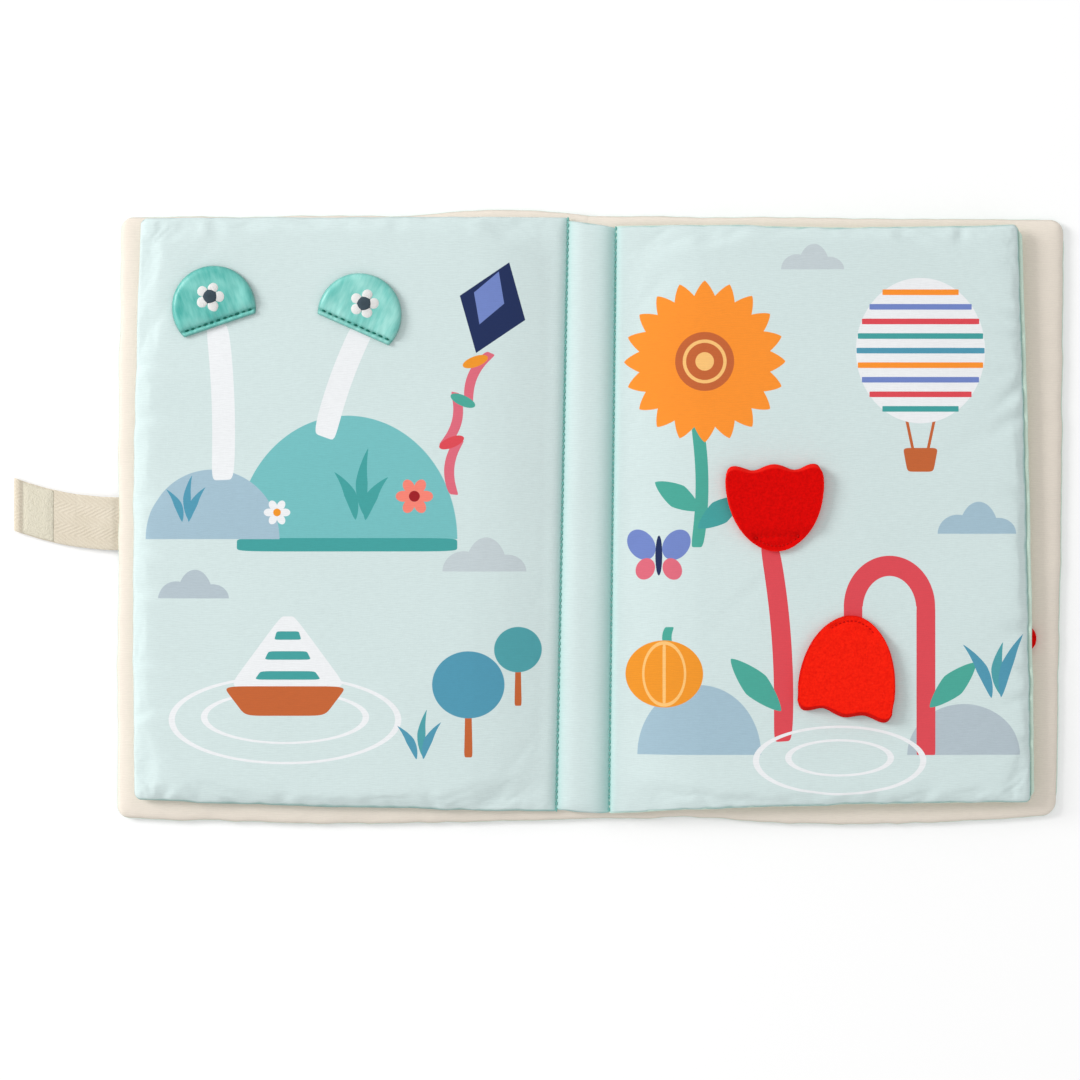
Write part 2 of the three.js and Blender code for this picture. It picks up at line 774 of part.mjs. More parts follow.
function buildFeltFlap(flap, x, y, leafTop) {
  const name = `felt_flap_${flap.name}`;
  const seat = leafTop + layerGap;
  const fixed = pivot(x, y, 0, flap.turnDegrees);
  const root = feltSolid(feltShape(flap, 0, feltRootLength - hingeGap), feltRootThickness);
  root.translate(0, 0, seat);
  fixed.add(solid(`${name}_root`, root, redFelt));
  const stitches = feltStitches(flap);
  stitches.translate(0, 0, seat + feltRootThickness + layerGap / 2);
  fixed.add(solid(`${name}_stitching`, stitches, redThread));

  const moving = pivot(0, feltRootLength, seat + feltThickness);
  const felt = feltSolid(feltShape(flap, feltRootLength + hingeGap, flap.length), feltThickness);
  felt.translate(0, -feltRootLength, -feltThickness);
  moving.add(solid(`${name}_felt`, felt, redFelt));
  fixed.add(moving);
  return fixed;
}

const book = new THREE.Group();
book.add(buildSpine());
book.add(buildLeftCover());
book.add(buildRightCover());

export default book;
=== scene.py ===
"""A baby's activity book of padded cloth, lying open on a pale floor.

Two soft covers and a padded spine carry two padded leaves. The left leaf has two satin lift
flaps, the right leaf two felt ones, and a webbing strap closes the book. Lengths are metres in
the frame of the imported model, with +X to the right, +Y to the head of the pages and +Z up.
"""
import functools
import json
import logging
import math
from dataclasses import dataclass, field
from enum import Enum
from typing import Callable, Sequence

import bmesh
import bpy
from mathutils import Matrix, Vector, noise
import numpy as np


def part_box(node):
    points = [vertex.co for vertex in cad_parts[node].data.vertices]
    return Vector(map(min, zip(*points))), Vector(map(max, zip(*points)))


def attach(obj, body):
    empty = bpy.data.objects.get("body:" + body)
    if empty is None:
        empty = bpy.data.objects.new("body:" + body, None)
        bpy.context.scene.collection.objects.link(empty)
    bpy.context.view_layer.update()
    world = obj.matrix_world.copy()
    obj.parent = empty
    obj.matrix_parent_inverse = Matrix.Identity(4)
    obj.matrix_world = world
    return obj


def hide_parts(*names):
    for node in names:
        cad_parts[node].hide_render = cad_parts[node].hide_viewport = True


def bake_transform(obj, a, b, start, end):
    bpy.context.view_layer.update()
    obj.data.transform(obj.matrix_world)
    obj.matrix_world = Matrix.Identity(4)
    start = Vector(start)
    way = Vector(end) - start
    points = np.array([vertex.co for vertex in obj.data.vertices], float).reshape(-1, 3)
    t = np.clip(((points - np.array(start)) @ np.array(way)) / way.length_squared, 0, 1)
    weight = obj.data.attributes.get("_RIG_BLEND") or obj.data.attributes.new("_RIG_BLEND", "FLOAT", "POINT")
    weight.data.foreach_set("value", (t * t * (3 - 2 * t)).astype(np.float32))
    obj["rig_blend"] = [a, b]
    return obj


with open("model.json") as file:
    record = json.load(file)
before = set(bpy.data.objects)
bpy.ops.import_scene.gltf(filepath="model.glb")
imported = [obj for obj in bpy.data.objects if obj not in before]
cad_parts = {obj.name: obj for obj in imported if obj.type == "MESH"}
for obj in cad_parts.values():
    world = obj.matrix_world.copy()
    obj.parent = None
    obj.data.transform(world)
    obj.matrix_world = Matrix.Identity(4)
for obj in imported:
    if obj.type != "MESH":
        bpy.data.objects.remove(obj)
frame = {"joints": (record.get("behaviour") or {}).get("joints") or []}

log = logging.getLogger("cloth_book")

MM = 0.001

# The map of a flat cloth, and the values that its mesh carries for its finish.
CLOTH_MAP = "cloth"
RIM = "rim"
# How much painted shade the line along a sewn side takes, carried by each point of a cloth.
SEAM_SHADING = "tint"
FOLD = "fold"

# Cotton: its yarn and its ribs, and the softness of a printed edge in millimetres.
YARN = 0.62 * MM
RIB = 0.82 * MM
PRINT_EDGE = 0.16

# Sewing: laps, back cloths, the room beside stitches, their slant in radians, and a pad's swell.
OVERLAP = 1.2 * MM
BACK_CLOTH = 0.15 * MM
STITCH_ROOM = 0.05 * MM
STITCH_SLANT = 0.07
SWELL = 0.4 * MM

Pair = tuple[float, float]
Colour = tuple[float, float, float, float]
Place = Callable[[float, float], Vector]


def ink(red: int, green: int, blue: int) -> Colour:
    """Turns a colour of 0 to 255 as it is seen into the linear colour that a shader takes.

    Args:
        red: Red as seen.
        green: Green as seen.
        blue: Blue as seen.

    Returns:
        The linear colour, opaque.
    """
    def straight(value: int) -> float:
        """One of the three, from as it is seen to linear."""
        share = value / 255
        return share / 12.92 if share <= 0.04045 else ((share + 0.055) / 1.055) ** 2.4

    return (straight(red), straight(green), straight(blue), 1.0)


def clamp(value: float, low: float = 0.0, high: float = 1.0) -> float:
    """Limits a value to the range from low to high."""
    return max(low, min(high, value))


def mix(start: float, end: float, share: float) -> float:
    """Goes from start to end by a share."""
    return start + (end - start) * share


def smooth(share: float) -> float:
    """Eases a share in and out, after limiting it to 0 and 1."""
    share = clamp(share)
    return share * share * (3 - 2 * share)


def round_rise(share: float) -> float:
    """The height of a rounded edge: 0 at its rim and 1 past its shoulder."""
    return math.sqrt(max(0.0, 1 - (1 - clamp(share)) ** 2))


def soft_rise(share: float) -> float:
    """The height of a pinched edge, which climbs more slowly than a rounded one."""
    return 1 - (1 - clamp(share)) ** 2


def steep_rise(share: float) -> float:
    """The height beside a row of stitches, which climbs at once and then levels off."""
    return 1 - (1 - clamp(share)) ** 3


def ripple(x: float, y: float, seed: float, length: float) -> float:
    """Smooth noise from -1 to 1 with bumps about one length wide.

    Args:
        x: First coordinate in metres.
        y: Second coordinate in metres.
        seed: Which of the noise's layers is read, so that pieces differ.
        length: Width of a bump in metres.

    Returns:
        The noise at that point.
    """
    return noise.noise(Vector((x / length, y / length, seed * 7.3)))


class Shader:
    """A short way to place nodes in a material or a node group."""

    def __init__(self, tree: bpy.types.NodeTree) -> None:
        """Keeps the tree that new nodes go into."""
        self.tree = tree

    def put(self, socket: bpy.types.NodeSocket, value: object) -> None:
        """Links a socket to another one, or sets its constant.

        Args:
            socket: The input to fill.
            value: An output socket, or a number, vector or colour.
        """
        if isinstance(value, bpy.types.NodeSocket):
            self.tree.links.new(value, socket)
        else:
            socket.default_value = value

    def fill(self, made: bpy.types.Node, **inputs: object) -> None:
        """Fills a node's inputs by name, an underscore standing for a space."""
        for name, value in inputs.items():
            self.put(made.inputs[name.replace("_", " ")], value)

    def node(self, kind: str, inputs: dict | None = None, **settings: object) -> bpy.types.Node:
        """Adds a node, sets its properties and fills its inputs.

        Args:
            kind: Blender's name of the node type.
            inputs: Values or sockets by input name or number.
            **settings: Properties of the node.

        Returns:
            The new node.
        """
        made = self.tree.nodes.new(kind)
        for name, value in settings.items():
            setattr(made, name, value)
        for key, value in (inputs or {}).items():
            self.put(made.inputs[key], value)
        return made

    def group(self, tree: bpy.types.NodeTree, **inputs: object) -> bpy.types.Node:
        """Places a node group and fills its inputs."""
        return self.node("ShaderNodeGroup", inputs, node_tree=tree)

    def math(self, operation: str, *values: object, limit: bool = False) -> bpy.types.NodeSocket:
        """Adds a Math node and returns its result."""
        made = self.node("ShaderNodeMath", dict(enumerate(values)), operation=operation, use_clamp=limit)
        return made.outputs[0]

    def around(self, value: object, factor: float, base: object,
               limit: bool = False) -> bpy.types.NodeSocket:
        """Adds a pattern to a base, by a factor on how far it is over one half."""
        return self.math("MULTIPLY_ADD", self.math("SUBTRACT", value, 0.5), factor, base, limit=limit)

    def wave(self, value: object, length: float) -> bpy.types.NodeSocket:
        """A wave from -1 to 1, by its length."""
        return self.math("SINE", self.math("MULTIPLY", value, 2 * math.pi / length))

    def axes(self, point: object) -> Sequence[bpy.types.NodeSocket]:
        """Splits a point into its X, Y and Z."""
        return self.node("ShaderNodeSeparateXYZ", {0: point}).outputs

    def scaled(self, point: object, factor: object) -> bpy.types.NodeSocket:
        """Multiplies a point by a number."""
        made = self.node("ShaderNodeVectorMath", {0: point, 3: factor}, operation="SCALE")
        return made.outputs["Vector"]

    def length(self, point: object) -> bpy.types.NodeSocket:
        """The distance of a point from the origin."""
        return self.node("ShaderNodeVectorMath", {0: point}, operation="LENGTH").outputs["Value"]

    def grey(self, value: object) -> bpy.types.NodeSocket:
        """Turns a number into a grey."""
        return self.node("ShaderNodeCombineColor", {0: value, 1: value, 2: value}).outputs[0]

    def blend(self, share: object, under: object, over: object, mode: str = "MIX") -> bpy.types.NodeSocket:
        """Lays one colour over another by a share.

        Args:
            share: How much of the upper colour shows.
            under: The lower colour.
            over: The upper colour.
            mode: Blender's name of the way that they mix.

        Returns:
            The mixed colour.
        """
        made = self.node("ShaderNodeMix", data_type="RGBA", blend_type=mode)
        self.put(made.inputs[0], share)
        self.put(made.inputs[6], under)
        self.put(made.inputs[7], over)
        return made.outputs[2]

    def noise(self, point: object, scale: float, detail: float = 2.0) -> bpy.types.NodeSocket:
        """Adds a noise pattern and returns its value."""
        made = self.node("ShaderNodeTexNoise", {"Vector": point, "Scale": scale, "Detail": detail})
        return made.outputs["Fac"]

    def streaks(self, point: object, scale: tuple[float, float, float], detail: float = 2.0,
                turn: float = 0.0) -> bpy.types.NodeSocket:
        """Adds a noise pattern that runs in threads or streaks.

        Args:
            point: Where it is read.
            scale: How many bumps it has in a metre along each axis.
            detail: How many finer layers it has.
            turn: Its turn in the cloth's plane, in radians.

        Returns:
            The pattern's value.
        """
        inputs = {"Vector": point, "Scale": scale, "Rotation": (0.0, 0.0, turn)}
        return self.noise(self.node("ShaderNodeMapping", inputs).outputs["Vector"], 1.0, detail)

    def bump(self, height: object, distance: float, strength: float = 1.0,
             under: object = None) -> bpy.types.NodeSocket:
        """Turns a height into a normal.

        Args:
            height: The height pattern, from 0 to 1.
            distance: What a height of 1 stands for, in metres.
            strength: How strongly it shows.
            under: A normal that it is laid over.

        Returns:
            The bumped normal.
        """
        inputs = {"Height": height, "Distance": distance, "Strength": strength}
        made = self.node("ShaderNodeBump", inputs)
        if under is not None:
            self.put(made.inputs["Normal"], under)
        return made.outputs["Normal"]

    def cloth_point(self) -> bpy.types.NodeSocket:
        """The point on the flat cloth in metres, from the piece's UV map."""
        return self.node("ShaderNodeUVMap", uv_map=CLOTH_MAP).outputs["UV"]

    def attribute(self, name: str) -> bpy.types.NodeSocket:
        """A value that the piece's mesh carries at each point."""
        return self.node("ShaderNodeAttribute", attribute_name=name).outputs["Fac"]

    def near_rim(self, width: object) -> bpy.types.NodeSocket:
        """1 at the piece's edge, falling to 0 over a width."""
        return self.math("SUBTRACT", 1.0, self.math("DIVIDE", self.attribute(RIM), width), limit=True)

    def near_fold(self, width: float) -> bpy.types.NodeSocket:
        """1 at the piece's fold line, dying away over a width."""
        return self.math("EXPONENT", self.math("DIVIDE", self.attribute(FOLD), -width))


class Groups:
    """The node groups that several finishes share, each built once."""

    @staticmethod
    def _start(name: str, inputs: dict, outputs: dict) -> tuple:
        """Makes an empty group with named sockets.

        Args:
            name: The group's name.
            inputs: Input names with "Vector" or "Float".
            outputs: Output names with "Color" or "Float".

        Returns:
            The group, its shader helper, its input sockets by name and its output node.
        """
        group = bpy.data.node_groups.new(name, "ShaderNodeTree")
        for label, kind in inputs.items():
            group.interface.new_socket(label, in_out="INPUT", socket_type=f"NodeSocket{kind}")
        for label, kind in outputs.items():
            group.interface.new_socket(label, in_out="OUTPUT", socket_type=f"NodeSocket{kind}")
        shader = Shader(group)
        given = shader.node("NodeGroupInput").outputs
        return group, shader, {label: given[label] for label in inputs}, shader.node("NodeGroupOutput")

    @classmethod
    def _start_stamp(cls, name: str, *numbers: str) -> tuple:
        """Makes an empty group for a printed shape.

        Args:
            name: The group's name.
            *numbers: What it takes besides Point, Centre, Half and Turn.

        Returns:
            What _start returns, and the point in the stamp's own frame, where it reaches from -1 to 1.
        """
        places = dict.fromkeys(("Point", "Centre", "Half", "Turn"), "Vector")
        group, s, given, out = cls._start(name, places | dict.fromkeys(numbers, "Float"), {"Mask": "Float"})
        inputs = {
            "Vector": given["Point"],
            "Location": given["Centre"],
            "Rotation": given["Turn"],
            "Scale": given["Half"],
        }
        local = s.node("ShaderNodeMapping", inputs, vector_type="TEXTURE").outputs["Vector"]
        return group, s, given, out, local

    @staticmethod
    def _mask(s: Shader, high: object, low: object, crisp: object) -> bpy.types.NodeSocket:
        """A mask that rises from 0 where one value passes another, by how crisp its edge is."""
        return s.math("MULTIPLY", s.math("SUBTRACT", high, low), crisp, limit=True)

    @classmethod
    @functools.cache
    def weave(cls) -> bpy.types.NodeTree:
        """Plain weave with fine uneven ribs across the cloth.

        Returns:
            A group from Point to Height and Tone.
        """
        outputs = {"Height": "Float", "Tone": "Float"}
        group, s, given, out = cls._start("plain weave", {"Point": "Vector"}, outputs)
        point = given["Point"]
        axes = s.axes(point)
        across, along = s.wave(axes[0], YARN), s.wave(axes[1], YARN)
        over = s.math("MULTIPLY_ADD", s.math("MULTIPLY", across, along), 0.35, 0.5)
        ribs = s.streaks(point, (330, 1500, 1))
        warp = s.streaks(point, (1500, 260, 1))
        wander = s.math("MULTIPLY_ADD", s.noise(point, 160.0, 1.0), 2.2 * MM, axes[1])
        rows = s.wave(wander, RIB)
        height = s.math("MULTIPLY_ADD", rows, 0.2, s.around(ribs, 1.0, over))
        tone = s.math("MULTIPLY_ADD", rows, 0.2, s.around(ribs, 1.3, 0.5))
        s.fill(out, Height=height, Tone=s.around(warp, 0.5, tone, limit=True))
        return group

    @classmethod
    @functools.cache
    def crumple(cls) -> bpy.types.NodeTree:
        """Soft handling creases of a cotton cloth.

        Returns:
            A group from Point to Height.
        """
        group, s, given, out = cls._start("soft creases", {"Point": "Vector"}, {"Height": "Float"})
        broad = s.streaks(given["Point"], (34, 60, 1), 3.0)
        fine = s.streaks(given["Point"], (150, 210, 1), turn=0.5)
        fold = s.math("ABSOLUTE", s.math("SUBTRACT", fine, 0.5))
        s.fill(out, Height=s.math("MULTIPLY_ADD", fold, 0.6, broad))
        return group

    @classmethod
    @functools.cache
    def fibres(cls) -> bpy.types.NodeTree:
        """Matted short fibres, as on felt.

        Returns:
            A group from Point and Fibre, the fibres in a metre, to Height and Tone.
        """
        inputs = {"Point": "Vector", "Fibre": "Float"}
        group, s, given, out = cls._start("matted fibres", inputs, {"Height": "Float", "Tone": "Float"})
        point = s.scaled(given["Point"], given["Fibre"])
        tufts = s.noise(point, 1.0, 6.0)
        first = s.streaks(point, (0.5, 2.6, 2.6), 3.0, 0.6)
        second = s.streaks(point, (2.6, 0.5, 2.6), 3.0, 0.3)
        matted = s.math("MAXIMUM", first, second)
        s.fill(out, Height=s.math("MULTIPLY_ADD", matted, 0.8, tufts), Tone=s.around(matted, 0.7, tufts))
        return group

    @classmethod
    @functools.cache
    def oval_stamp(cls) -> bpy.types.NodeTree:
        """A printed oval, or a dome where its foot is cut level.

        Returns:
            A group from Point, Centre, Half, Turn, Foot and Crisp to Mask.
        """
        group, s, given, out, local = cls._start_stamp("printed oval", "Foot", "Crisp")
        inside = cls._mask(s, 1.0, s.length(local), given["Crisp"])
        above = cls._mask(s, s.axes(local)[1], given["Foot"], given["Crisp"])
        s.fill(out, Mask=s.math("MULTIPLY", inside, above))
        return group

    @classmethod
    @functools.cache
    def ring_stamp(cls) -> bpy.types.NodeTree:
        """A thin printed ring.

        Returns:
            A group from Point, Centre, Half, Turn, Line and Crisp to Mask.
        """
        group, s, given, out, local = cls._start_stamp("printed ring", "Line", "Crisp")
        off = s.math("ABSOLUTE", s.math("SUBTRACT", s.length(local), 1.0))
        s.fill(out, Mask=cls._mask(s, given["Line"], off, given["Crisp"]))
        return group

    @classmethod
    @functools.cache
    def block_stamp(cls) -> bpy.types.NodeTree:
        """A printed shape between a diamond and a square, which may taper and bend.

        Returns:
            A group from Point, Centre, Half, Turn, Power, Taper, Bend and Crisp to Mask.
        """
        group, s, given, out, local = cls._start_stamp("printed block", "Power", "Taper", "Bend", "Crisp")
        axes = s.axes(local)
        square = s.math("MULTIPLY", axes[1], axes[1])
        straight = s.math("SUBTRACT", axes[0], s.math("MULTIPLY", given["Bend"], square))
        width = s.math("MAXIMUM", s.math("MULTIPLY_ADD", given["Taper"], axes[1], 1.0), 0.02)
        across = s.math("ABSOLUTE", s.math("DIVIDE", straight, width))
        first = s.math("POWER", across, given["Power"])
        second = s.math("POWER", s.math("ABSOLUTE", axes[1]), given["Power"])
        whole = s.math("POWER", s.math("ADD", first, second), s.math("DIVIDE", 1.0, given["Power"]))
        s.fill(out, Mask=cls._mask(s, 1.0, whole, given["Crisp"]))
        return group


class Stamp(Enum):
    """The kinds of printed shape."""

    OVAL = "oval"
    DOME = "dome"
    RING = "ring"
    BLOCK = "block"


class Ink(Enum):
    """The colours that the pages are printed in."""

    TEAL = ink(116, 190, 192)
    DEEP_TEAL = ink(66, 160, 158)
    POND_BLUE = ink(80, 152, 178)
    SEA_GREEN = ink(78, 160, 168)
    DUSTY_BLUE = ink(163, 191, 206)
    PALE_GREY = ink(196, 207, 211)
    WARM_GREY = ink(180, 194, 202)
    ORANGE = ink(252, 147, 46)
    AMBER = ink(240, 150, 40)
    BUTTER = ink(250, 196, 120)
    CORAL = ink(246, 132, 116)
    ROSE = ink(222, 106, 124)
    BERRY = ink(222, 74, 84)
    CHERRY = ink(158, 24, 34)
    BRICK = ink(196, 100, 52)
    NAVY = ink(28, 44, 88)
    PLUM = ink(66, 66, 136)
    PERIWINKLE = ink(114, 134, 198)
    LEAF = ink(74, 168, 152)
    WHITE = ink(238, 240, 242)
    PAGE = ink(211, 227, 226)


@dataclass(frozen=True)
class Motif:
    """One printed shape, in millimetres of the page.

    Attributes:
        stamp: Its kind.
        centre: Its middle.
        half: Half its width and half its height.
        ink: Its colour.
        turn: Its turn in degrees, anticlockwise.
        power: 1 for a diamond, 2 for an oval, 8 for a block.
        taper: How much wider it is at its head than at its middle, as a share.
        bend: How far its ends bend to its right, in half widths.
        foot: The height of a dome's level foot, in half heights.
        line: The width of a ring's line.
    """

    stamp: Stamp
    centre: Pair
    half: Pair
    ink: Ink
    turn: float = 0.0
    power: float = 2.0
    taper: float = 0.0
    bend: float = 0.0
    foot: float = -2.0
    line: float = 1.6


def oval(x: float, y: float, across: float, high: float, colour: Ink, turn: float = 0.0) -> Motif:
    """A printed oval with its full width and height."""
    return Motif(Stamp.OVAL, (x, y), (across / 2, high / 2), colour, turn)


def dome(x: float, y: float, across: float, high: float, colour: Ink, turn: float = 0.0) -> Motif:
    """A printed dome that stands on a level foot at height y."""
    return Motif(Stamp.DOME, (x, y), (across / 2, high), colour, turn, foot=0.0)


def ring(x: float, y: float, across: float, high: float, colour: Ink, line: float = 1.6) -> Motif:
    """A thin printed ring."""
    return Motif(Stamp.RING, (x, y), (across / 2, high / 2), colour, line=line)


def block(x: float, y: float, across: float, high: float, colour: Ink, turn: float = 0.0,
          power: float = 8.0, taper: float = 0.0, bend: float = 0.0) -> Motif:
    """A printed block, leaf, kite or stem, by its power, taper and bend."""
    half = (across / 2, high / 2)
    return Motif(Stamp.BLOCK, (x, y), half, colour, turn, power, taper, bend)


def cloud(x: float, y: float, across: float, colour: Ink) -> list[Motif]:
    """A cloud of three domes on one level foot.

    Args:
        x: Middle of its foot.
        y: Height of its foot.
        across: Its width.
        colour: Its ink.

    Returns:
        Its shapes.
    """
    return [
        dome(x - 0.24 * across, y, 0.5 * across, 0.24 * across, colour),
        dome(x + 0.26 * across, y, 0.46 * across, 0.2 * across, colour),
        dome(x + 0.02 * across, y, 0.5 * across, 0.4 * across, colour),
    ]


def grass(x: float, y: float, high: float, blades: Sequence[Pair], colours: Sequence[Ink]) -> list[Motif]:
    """A tuft of pointed blades that spring from one foot.

    Args:
        x: Middle of the foot.
        y: Height of the foot.
        high: Length of a full blade.
        blades: For each blade its lean in degrees and its share of the full length.
        colours: Inks that the blades take in turn.

    Returns:
        Its shapes.
    """
    made = []
    for number, (lean, share) in enumerate(blades):
        half = high * share / 2
        angle = math.radians(lean)
        middle = (x + math.sin(angle) * half, y + math.cos(angle) * half)
        colour = colours[number % len(colours)]
        bend = 0.9 if lean > 0 else -0.9
        made.append(block(*middle, high * 0.17, 2 * half, colour, -lean, 1.35, -0.35, bend))
    return made


def blossom(x: float, y: float, across: float, petals: int, colour: Ink, heart: Ink) -> list[Motif]:
    """A round flower of oval petals.

    Args:
        x: Its middle.
        y: Its middle.
        across: Its full width.
        petals: How many petals it has.
        colour: Ink of the petals.
        heart: Ink of its middle.

    Returns:
        Its shapes.
    """
    made = []
    for number in range(petals):
        angle = 2 * math.pi * number / petals
        reach = 0.3 * across
        middle = (x + reach * math.cos(angle), y + reach * math.sin(angle))
        made.append(oval(*middle, 0.4 * across, 0.3 * across, colour, math.degrees(angle)))
    made.append(oval(x, y, 0.3 * across, 0.3 * across, heart))
    return made


class Artwork:
    """The printed garden of each page, as lists of shapes from the lowest ink to the uppermost."""

    @staticmethod
    def left_page() -> list[Motif]:
        """A hill with two mushrooms, a kite over it, and a pond with a boat below."""
        made = []
        made += cloud(-20.0, -20.0, 32.0, Ink.PALE_GREY)
        made += cloud(-128.0, -30.0, 27.0, Ink.WARM_GREY)
        made += [
            dome(-71.0, -8.0, 82.0, 46.0, Ink.TEAL),
            block(-71.0, -10.0, 82.0, 5.0, Ink.DEEP_TEAL),
            dome(-121.0, -8.0, 50.0, 26.0, Ink.DUSTY_BLUE),
            block(-117.0, 43.0, 8.5, 58.0, Ink.WHITE, 2.0, 8.0, 0.0, -0.3),
            block(-73.0, 52.0, 8.5, 46.0, Ink.WHITE, -20.0, 8.0, 0.0, 0.35),
        ]
        made += blossom(-46.0, 8.0, 14.0, 6, Ink.CORAL, Ink.CHERRY)
        made += blossom(-97.0, 2.0, 10.0, 6, Ink.WHITE, Ink.AMBER)
        made += grass(-66.0, 0.0, 26.0, [(-24, 0.75), (2, 1.0), (28, 0.7)], [Ink.DEEP_TEAL])
        made += grass(-131.0, -1.0, 17.0, [(-26, 0.8), (4, 1.0), (26, 0.85)], [Ink.POND_BLUE])
        made += Artwork._kite(-17.0, 78.0)
        made += Artwork._boat(-94.0, -66.0)
        made += [
            block(-26.0, -80.0, 2.8, 18.0, Ink.BRICK, 0.0, 8.0, -0.15),
            oval(-26.0, -62.0, 27.0, 25.0, Ink.POND_BLUE),
            block(-7.5, -62.0, 2.4, 16.0, Ink.BRICK, 0.0, 8.0, -0.15),
            oval(-7.5, -49.0, 18.0, 17.0, Ink.SEA_GREEN),
        ]
        reeds = [Ink.POND_BLUE, Ink.SEA_GREEN]
        made += grass(-44.0, -89.0, 18.0, [(-30, 0.8), (4, 1.0), (26, 0.85)], reeds)
        return made

    @staticmethod
    def _kite(x: float, y: float) -> list[Motif]:
        """A kite with a ribbon tail in three swings, its middle at x, y."""
        made = []
        tail = ((-7.2, -25.0, 24.0, 1.5), (-13.2, -42.0, 13.0, -1.6), (-16.0, -59.0, 6.0, 1.5))
        for dx, dy, lean, bend in tail:
            made.append(block(x + dx, y + dy, 3.8, 20.5, Ink.ROSE, -lean, 8.0, 0.0, bend))
        made += [
            block(x, y, 26.0, 36.0, Ink.NAVY, -20.0, 1.0),
            block(x - 1.3, y + 3.6, 12.0, 21.0, Ink.PERIWINKLE, -20.0, 1.0),
        ]
        bows = (
            (-6.4, -20.0, 20.0, Ink.AMBER),
            (-11.0, -34.5, -24.0, Ink.LEAF),
            (-15.2, -50.0, 22.0, Ink.BERRY),
        )
        for dx, dy, turn, colour in bows:
            made.append(oval(x + dx, y + dy, 10.0, 4.0, colour, turn))
        return made

    @staticmethod
    def _boat(x: float, y: float) -> list[Motif]:
        """A paper boat with a striped sail on a ringed pond, its hull at x, y."""
        made = [
            ring(x, y - 9.0, 84.0, 32.0, Ink.WHITE, 1.7),
            ring(x, y - 8.0, 60.0, 19.0, Ink.WHITE, 1.7),
            block(x + 1.0, y + 16.0, 25.0, 27.0, Ink.WHITE, 0.0, 8.0, -0.8),
        ]
        for number in range(3):
            width = 22.5 - 6.6 * number
            made.append(block(x + 1.0, y + 7.5 + 7.4 * number, width, 3.2, Ink.DEEP_TEAL, 0.0, 8.0, -0.1))
        made.append(block(x, y - 2.0, 38.0, 11.0, Ink.BRICK, 0.0, 8.0, 0.22))
        return made

    @staticmethod
    def right_page() -> list[Motif]:
        """A sunflower, a striped balloon, and stems that carry the two felt flowers."""
        made = []
        made += cloud(102.0, 92.0, 24.0, Ink.PALE_GREY)
        made += cloud(163.0, -6.0, 30.0, Ink.DUSTY_BLUE)
        made += [
            dome(60.0, -88.0, 46.0, 26.0, Ink.DUSTY_BLUE),
            dome(158.0, -88.0, 42.0, 19.0, Ink.WARM_GREY),
            block(61.0, 12.0, 4.8, 46.0, Ink.LEAF, 0.0, 8.0, 0.0, -0.8),
            block(52.0, 8.0, 9.0, 20.0, Ink.LEAF, 58.0, 1.35),
            block(67.5, 2.0, 9.0, 20.0, Ink.DEEP_TEAL, -54.0, 1.35),
        ]
        made += Artwork._sunflower(62.0, 58.0)
        made += Artwork._balloon(142.0, 62.0)
        made += [
            block(90.5, -46.0, 7.2, 74.0, Ink.BERRY, 4.0, 8.0, 0.0, -0.6),
            block(81.0, -62.0, 10.0, 27.0, Ink.LEAF, 44.0, 1.35),
            dome(130.5, -33.0, 34.0, 19.0, Ink.BERRY),
            dome(130.5, -34.0, 20.0, 12.5, Ink.PAGE),
            block(117.0, -36.0, 7.0, 8.0, Ink.BERRY, 0.0, 30.0),
            block(144.0, -60.2, 7.0, 55.6, Ink.BERRY, 0.0, 30.0),
            block(154.0, -62.0, 9.0, 24.0, Ink.LEAF, -46.0, 1.35),
        ]
        made += Artwork._pumpkin(47.0, -58.0)
        made += [
            ring(112.0, -90.0, 62.0, 25.0, Ink.WHITE, 1.7),
            ring(112.0, -89.0, 38.0, 13.0, Ink.WHITE, 1.7),
        ]
        reeds = [Ink.POND_BLUE, Ink.SEA_GREEN]
        made += grass(170.0, -66.0, 25.0, [(-28, 0.9), (2, 0.8), (20, 1.0)], reeds)
        made += Artwork._butterfly(45.0, -14.0)
        return made

    @staticmethod
    def _sunflower(x: float, y: float) -> list[Motif]:
        """A flower of twenty pointed petals round a ringed heart, its middle at x, y."""
        made = []
        petals, reach = 20, 21.5
        for number in range(petals):
            angle = 2 * math.pi * number / petals
            middle = (x + reach * math.cos(angle), y + reach * math.sin(angle))
            made.append(block(*middle, 9.5, 17.0, Ink.ORANGE, math.degrees(angle) - 90, 1.3))
        made += [
            oval(x, y, 43.0, 43.0, Ink.ORANGE),
            oval(x, y, 22.0, 22.0, Ink.BRICK),
            ring(x, y, 15.0, 15.0, Ink.BUTTER, 1.4),
            oval(x, y, 7.0, 7.0, Ink.BUTTER),
        ]
        return made

    @staticmethod
    def _balloon(x: float, y: float) -> list[Motif]:
        """A round balloon with stripes and a basket, its middle at x, y."""
        stripes = [Ink.DEEP_TEAL, Ink.BERRY, Ink.PERIWINKLE, Ink.ORANGE, Ink.POND_BLUE]
        made = [
            block(x - 4.2, y - 30.0, 1.1, 16.0, Ink.BRICK, 12.0),
            block(x + 4.2, y - 30.0, 1.1, 16.0, Ink.BRICK, -12.0),
            oval(x, y, 48.0, 54.0, Ink.WHITE),
        ]
        for number in range(9):
            rise = -21.6 + 5.4 * number
            width = 2 * 24.0 * math.sqrt(1 - (rise / 27.0) ** 2) - 0.4
            colour = stripes[number % len(stripes)]
            made.append(block(x, y + rise, width, 2.1, colour, 0.0, 30.0))
        made.append(block(x, y - 40.5, 11.5, 9.0, Ink.BRICK, 0.0, 8.0, 0.15))
        return made

